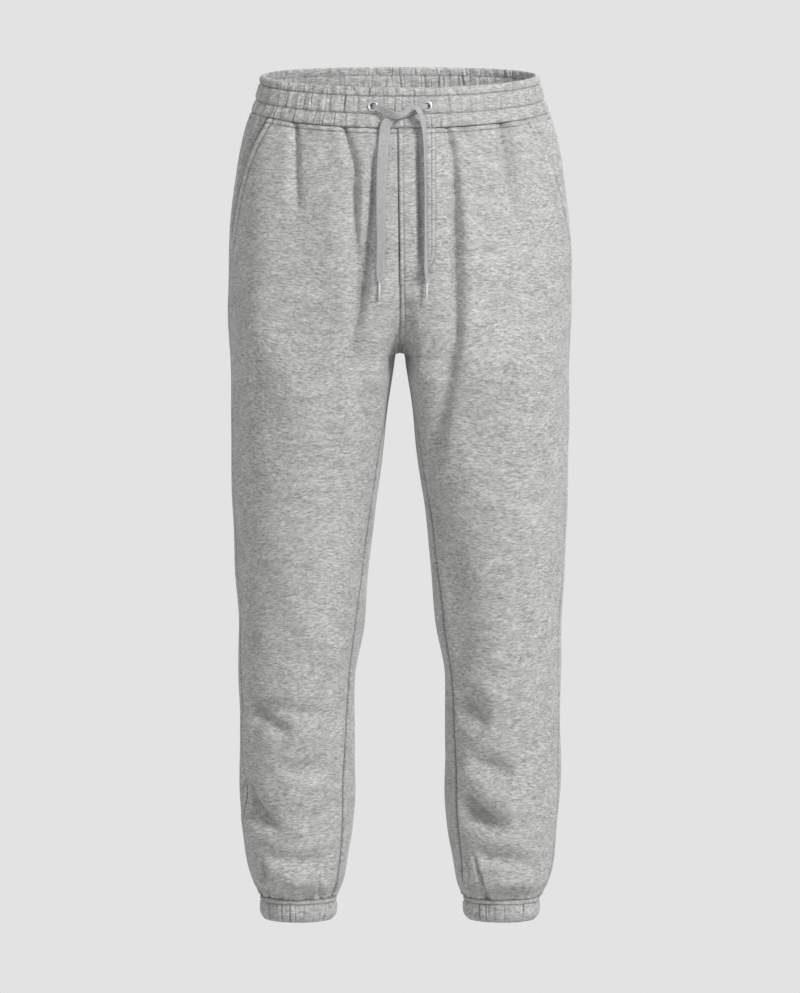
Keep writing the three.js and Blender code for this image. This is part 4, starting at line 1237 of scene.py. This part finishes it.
def fly_row(x, heights, out, *dash):
    return front_skin(x, heights, out), np.tile([0.0, -1.0, 0.0], (len(x), 1)), *dash


def spaced(low, high, step=1.5):
    return np.linspace(low, high, int(abs(high - low) / step))


rows = []
level = WAIST_SEAM - TOP_ROW
past_fly = {1: 0.24, -1: 0.005}  # the row on the wearer's left front starts beside the fly
for side, _ in SIDES:
    start = float(rise_angle(level)) + past_fly[side]
    rows.append(body_row(side, np.linspace(start, float(pocket_angle(level)) - 0.004, 200), level))
    end = float(back_rise_angle(level)) - 0.004
    rows.append(body_row(side, np.linspace(float(side_angle(level)) + 0.004, end, 300), level))
stitches("stitches_waist_seam", rows)

rows = []
for share in BAND_STITCHED[:2]:
    for grid, out in ((band_outer, 1), (band_inner, -1)):
        rows.append(round_row(grid, BAND_SHARES, share, band_at(share), band_angles, out=out))
stitches("stitches_waistband", rows)

rows = []
for side, _ in SIDES:
    heights = spaced(WAIST_SEAM - 4, POCKET_END + 4)
    mouth = pocket_angle(heights)
    angles = mouth - pocket_row(heights) / speed_of(ring_at(heights), mouth)
    rows.append(body_row(side, angles, heights, LIE - 0.3))
    for height in (WAIST_SEAM - 9, POCKET_END + 5):
        ring, mouth = ring_at(height), float(pocket_angle(height))
        middle = mouth - 4.5 / float(speed_of(ring, mouth))
        spread = 5.0 / float(speed_of(ring, middle))
        angles = np.linspace(middle - spread, middle + spread * 0.8, 8)
        for k in range(4):
            rows.append((*body_row(side, angles, height - TACK_STEP * k, 0.1), *TACK))
stitches("stitches_pockets", rows)

heights = spaced(FLY_BOTTOM - 1, CROTCH + 3.5)
rows = [body_row(1, angle_at(ring_at(heights), CENTRE_ROW), heights)]
for row in FLY_ROWS:
    heights = spaced(WAIST_SEAM - 2, FLY_STRAIGHT)
    bend = np.linspace(0, PI / 2 * 0.97, 60)
    share = 1 - row / FLY_WIDE
    x = FLY_WIDE * share * np.r_[1 + 0 * heights, np.cos(bend)]
    level = np.r_[heights, FLY_STRAIGHT + (FLY_BOTTOM - FLY_STRAIGHT) * share * np.sin(bend)]
    rows.append(fly_row(x, level, fly_lift(x, level) + PROUD))
heights = spaced(WAIST_SEAM - 2, FLY_BOTTOM + 3)
x = fly_left(heights) + FLY_EDGE_ROW
rows.append(fly_row(x, heights, fly_lift(x, heights) + PROUD))
stitches("stitches_fly", rows)

rows = []
for height, first, last in ((FLY_BOTTOM + 5.5, 4, 13), (FLY_BOTTOM + 1, 0.5, 24)):
    for k in range(3):
        x = np.linspace(first, last, 12)
        level = height - TACK_STEP * k + 0 * x
        rows.append(fly_row(x, level, np.maximum(fly_lift(x, level), 0) + 0.15, *TACK))
stitches("stitches_bartack", rows, PALE_THREAD)

rows = []
for side, _ in SIDES:
    for height in (CUFF_SEAM - 0.8, CUFF_STITCH):
        rows.append(round_row(cuff_faces[side], CUFF_HEIGHTS, height, CUFF_RING, cuff_angles, side))
stitches("stitches_cuffs", rows)


# A plain pale floor, well below the hanging garment, that curves up all round into a low wall
FLOOR, FLOOR_REACH, CURVE, WALL_TOP = -1500.0, 8000.0, 2500.0, 5000.0
STAGE_SIDES = 96
FLOOR_GLOW = 0.768
profile = [(0.001, FLOOR), (FLOOR_REACH, FLOOR)]
for a in np.linspace(0, PI / 2, 24)[1:]:
    profile.append((FLOOR_REACH + CURVE * math.sin(a), FLOOR + CURVE * (1 - math.cos(a))))
profile.append((FLOOR_REACH + CURVE, WALL_TOP))
pale = bpy.data.materials.new("pale_floor")
pale.use_nodes = True
pale_inputs = pale.node_tree.nodes["Principled BSDF"].inputs
pale_inputs["Base Color"].default_value = (0.0, 0.0, 0.0, 1)
pale_inputs["Roughness"].default_value = 1.0
pale_inputs["Specular IOR Level"].default_value = 0.0
pale_inputs["Emission Color"].default_value = (1.0, 1.0, 1.0, 1)
pale_inputs["Emission Strength"].default_value = FLOOR_GLOW
stage_faces = tube_faces(len(profile), STAGE_SIDES, capped=False)
floor = mesh_object("floor", lathe(profile, STAGE_SIDES), stage_faces, pale)
# the garment is lit by the lights and the world, not by the pale floor
floor.visible_diffuse = False
floor.visible_shadow = False


def area_light(name, place, target, size, power):
    data = bpy.data.lights.new(name, "AREA")
    data.shape = "DISK"
    data.size = size
    data.energy = power
    light = placed(name, data)
    light.location = place
    light.visible_camera = False
    light.rotation_euler = (Vector(target) - Vector(place)).to_track_quat("-Z", "Y").to_euler()


area_light("key", (2.75, -3.1, 2.1), (0, 0, -0.45), 1.4, 166)
area_light("fill", (-1.9, -3.4, 1.4), (0, 0, -0.3), 2.4, 14)
area_light("low", (0.7, -2.2, -2.2), (0, 0, -0.95), 1.2, 8)
area_light("back", (1.4, 4.2, 1.9), (0, 0, -0.5), 1.2, 130)
WORLD_STRENGTH = 0.5
world = bpy.data.worlds.new("world")
world.use_nodes = True
sky = world.node_tree.nodes["Background"].inputs
sky["Color"].default_value = (1, 1, 1, 1)
sky["Strength"].default_value = WORLD_STRENGTH
bpy.context.scene.world = world
bpy.context.scene.view_settings.view_transform = "Standard"
bpy.context.scene.view_settings.look = "None"
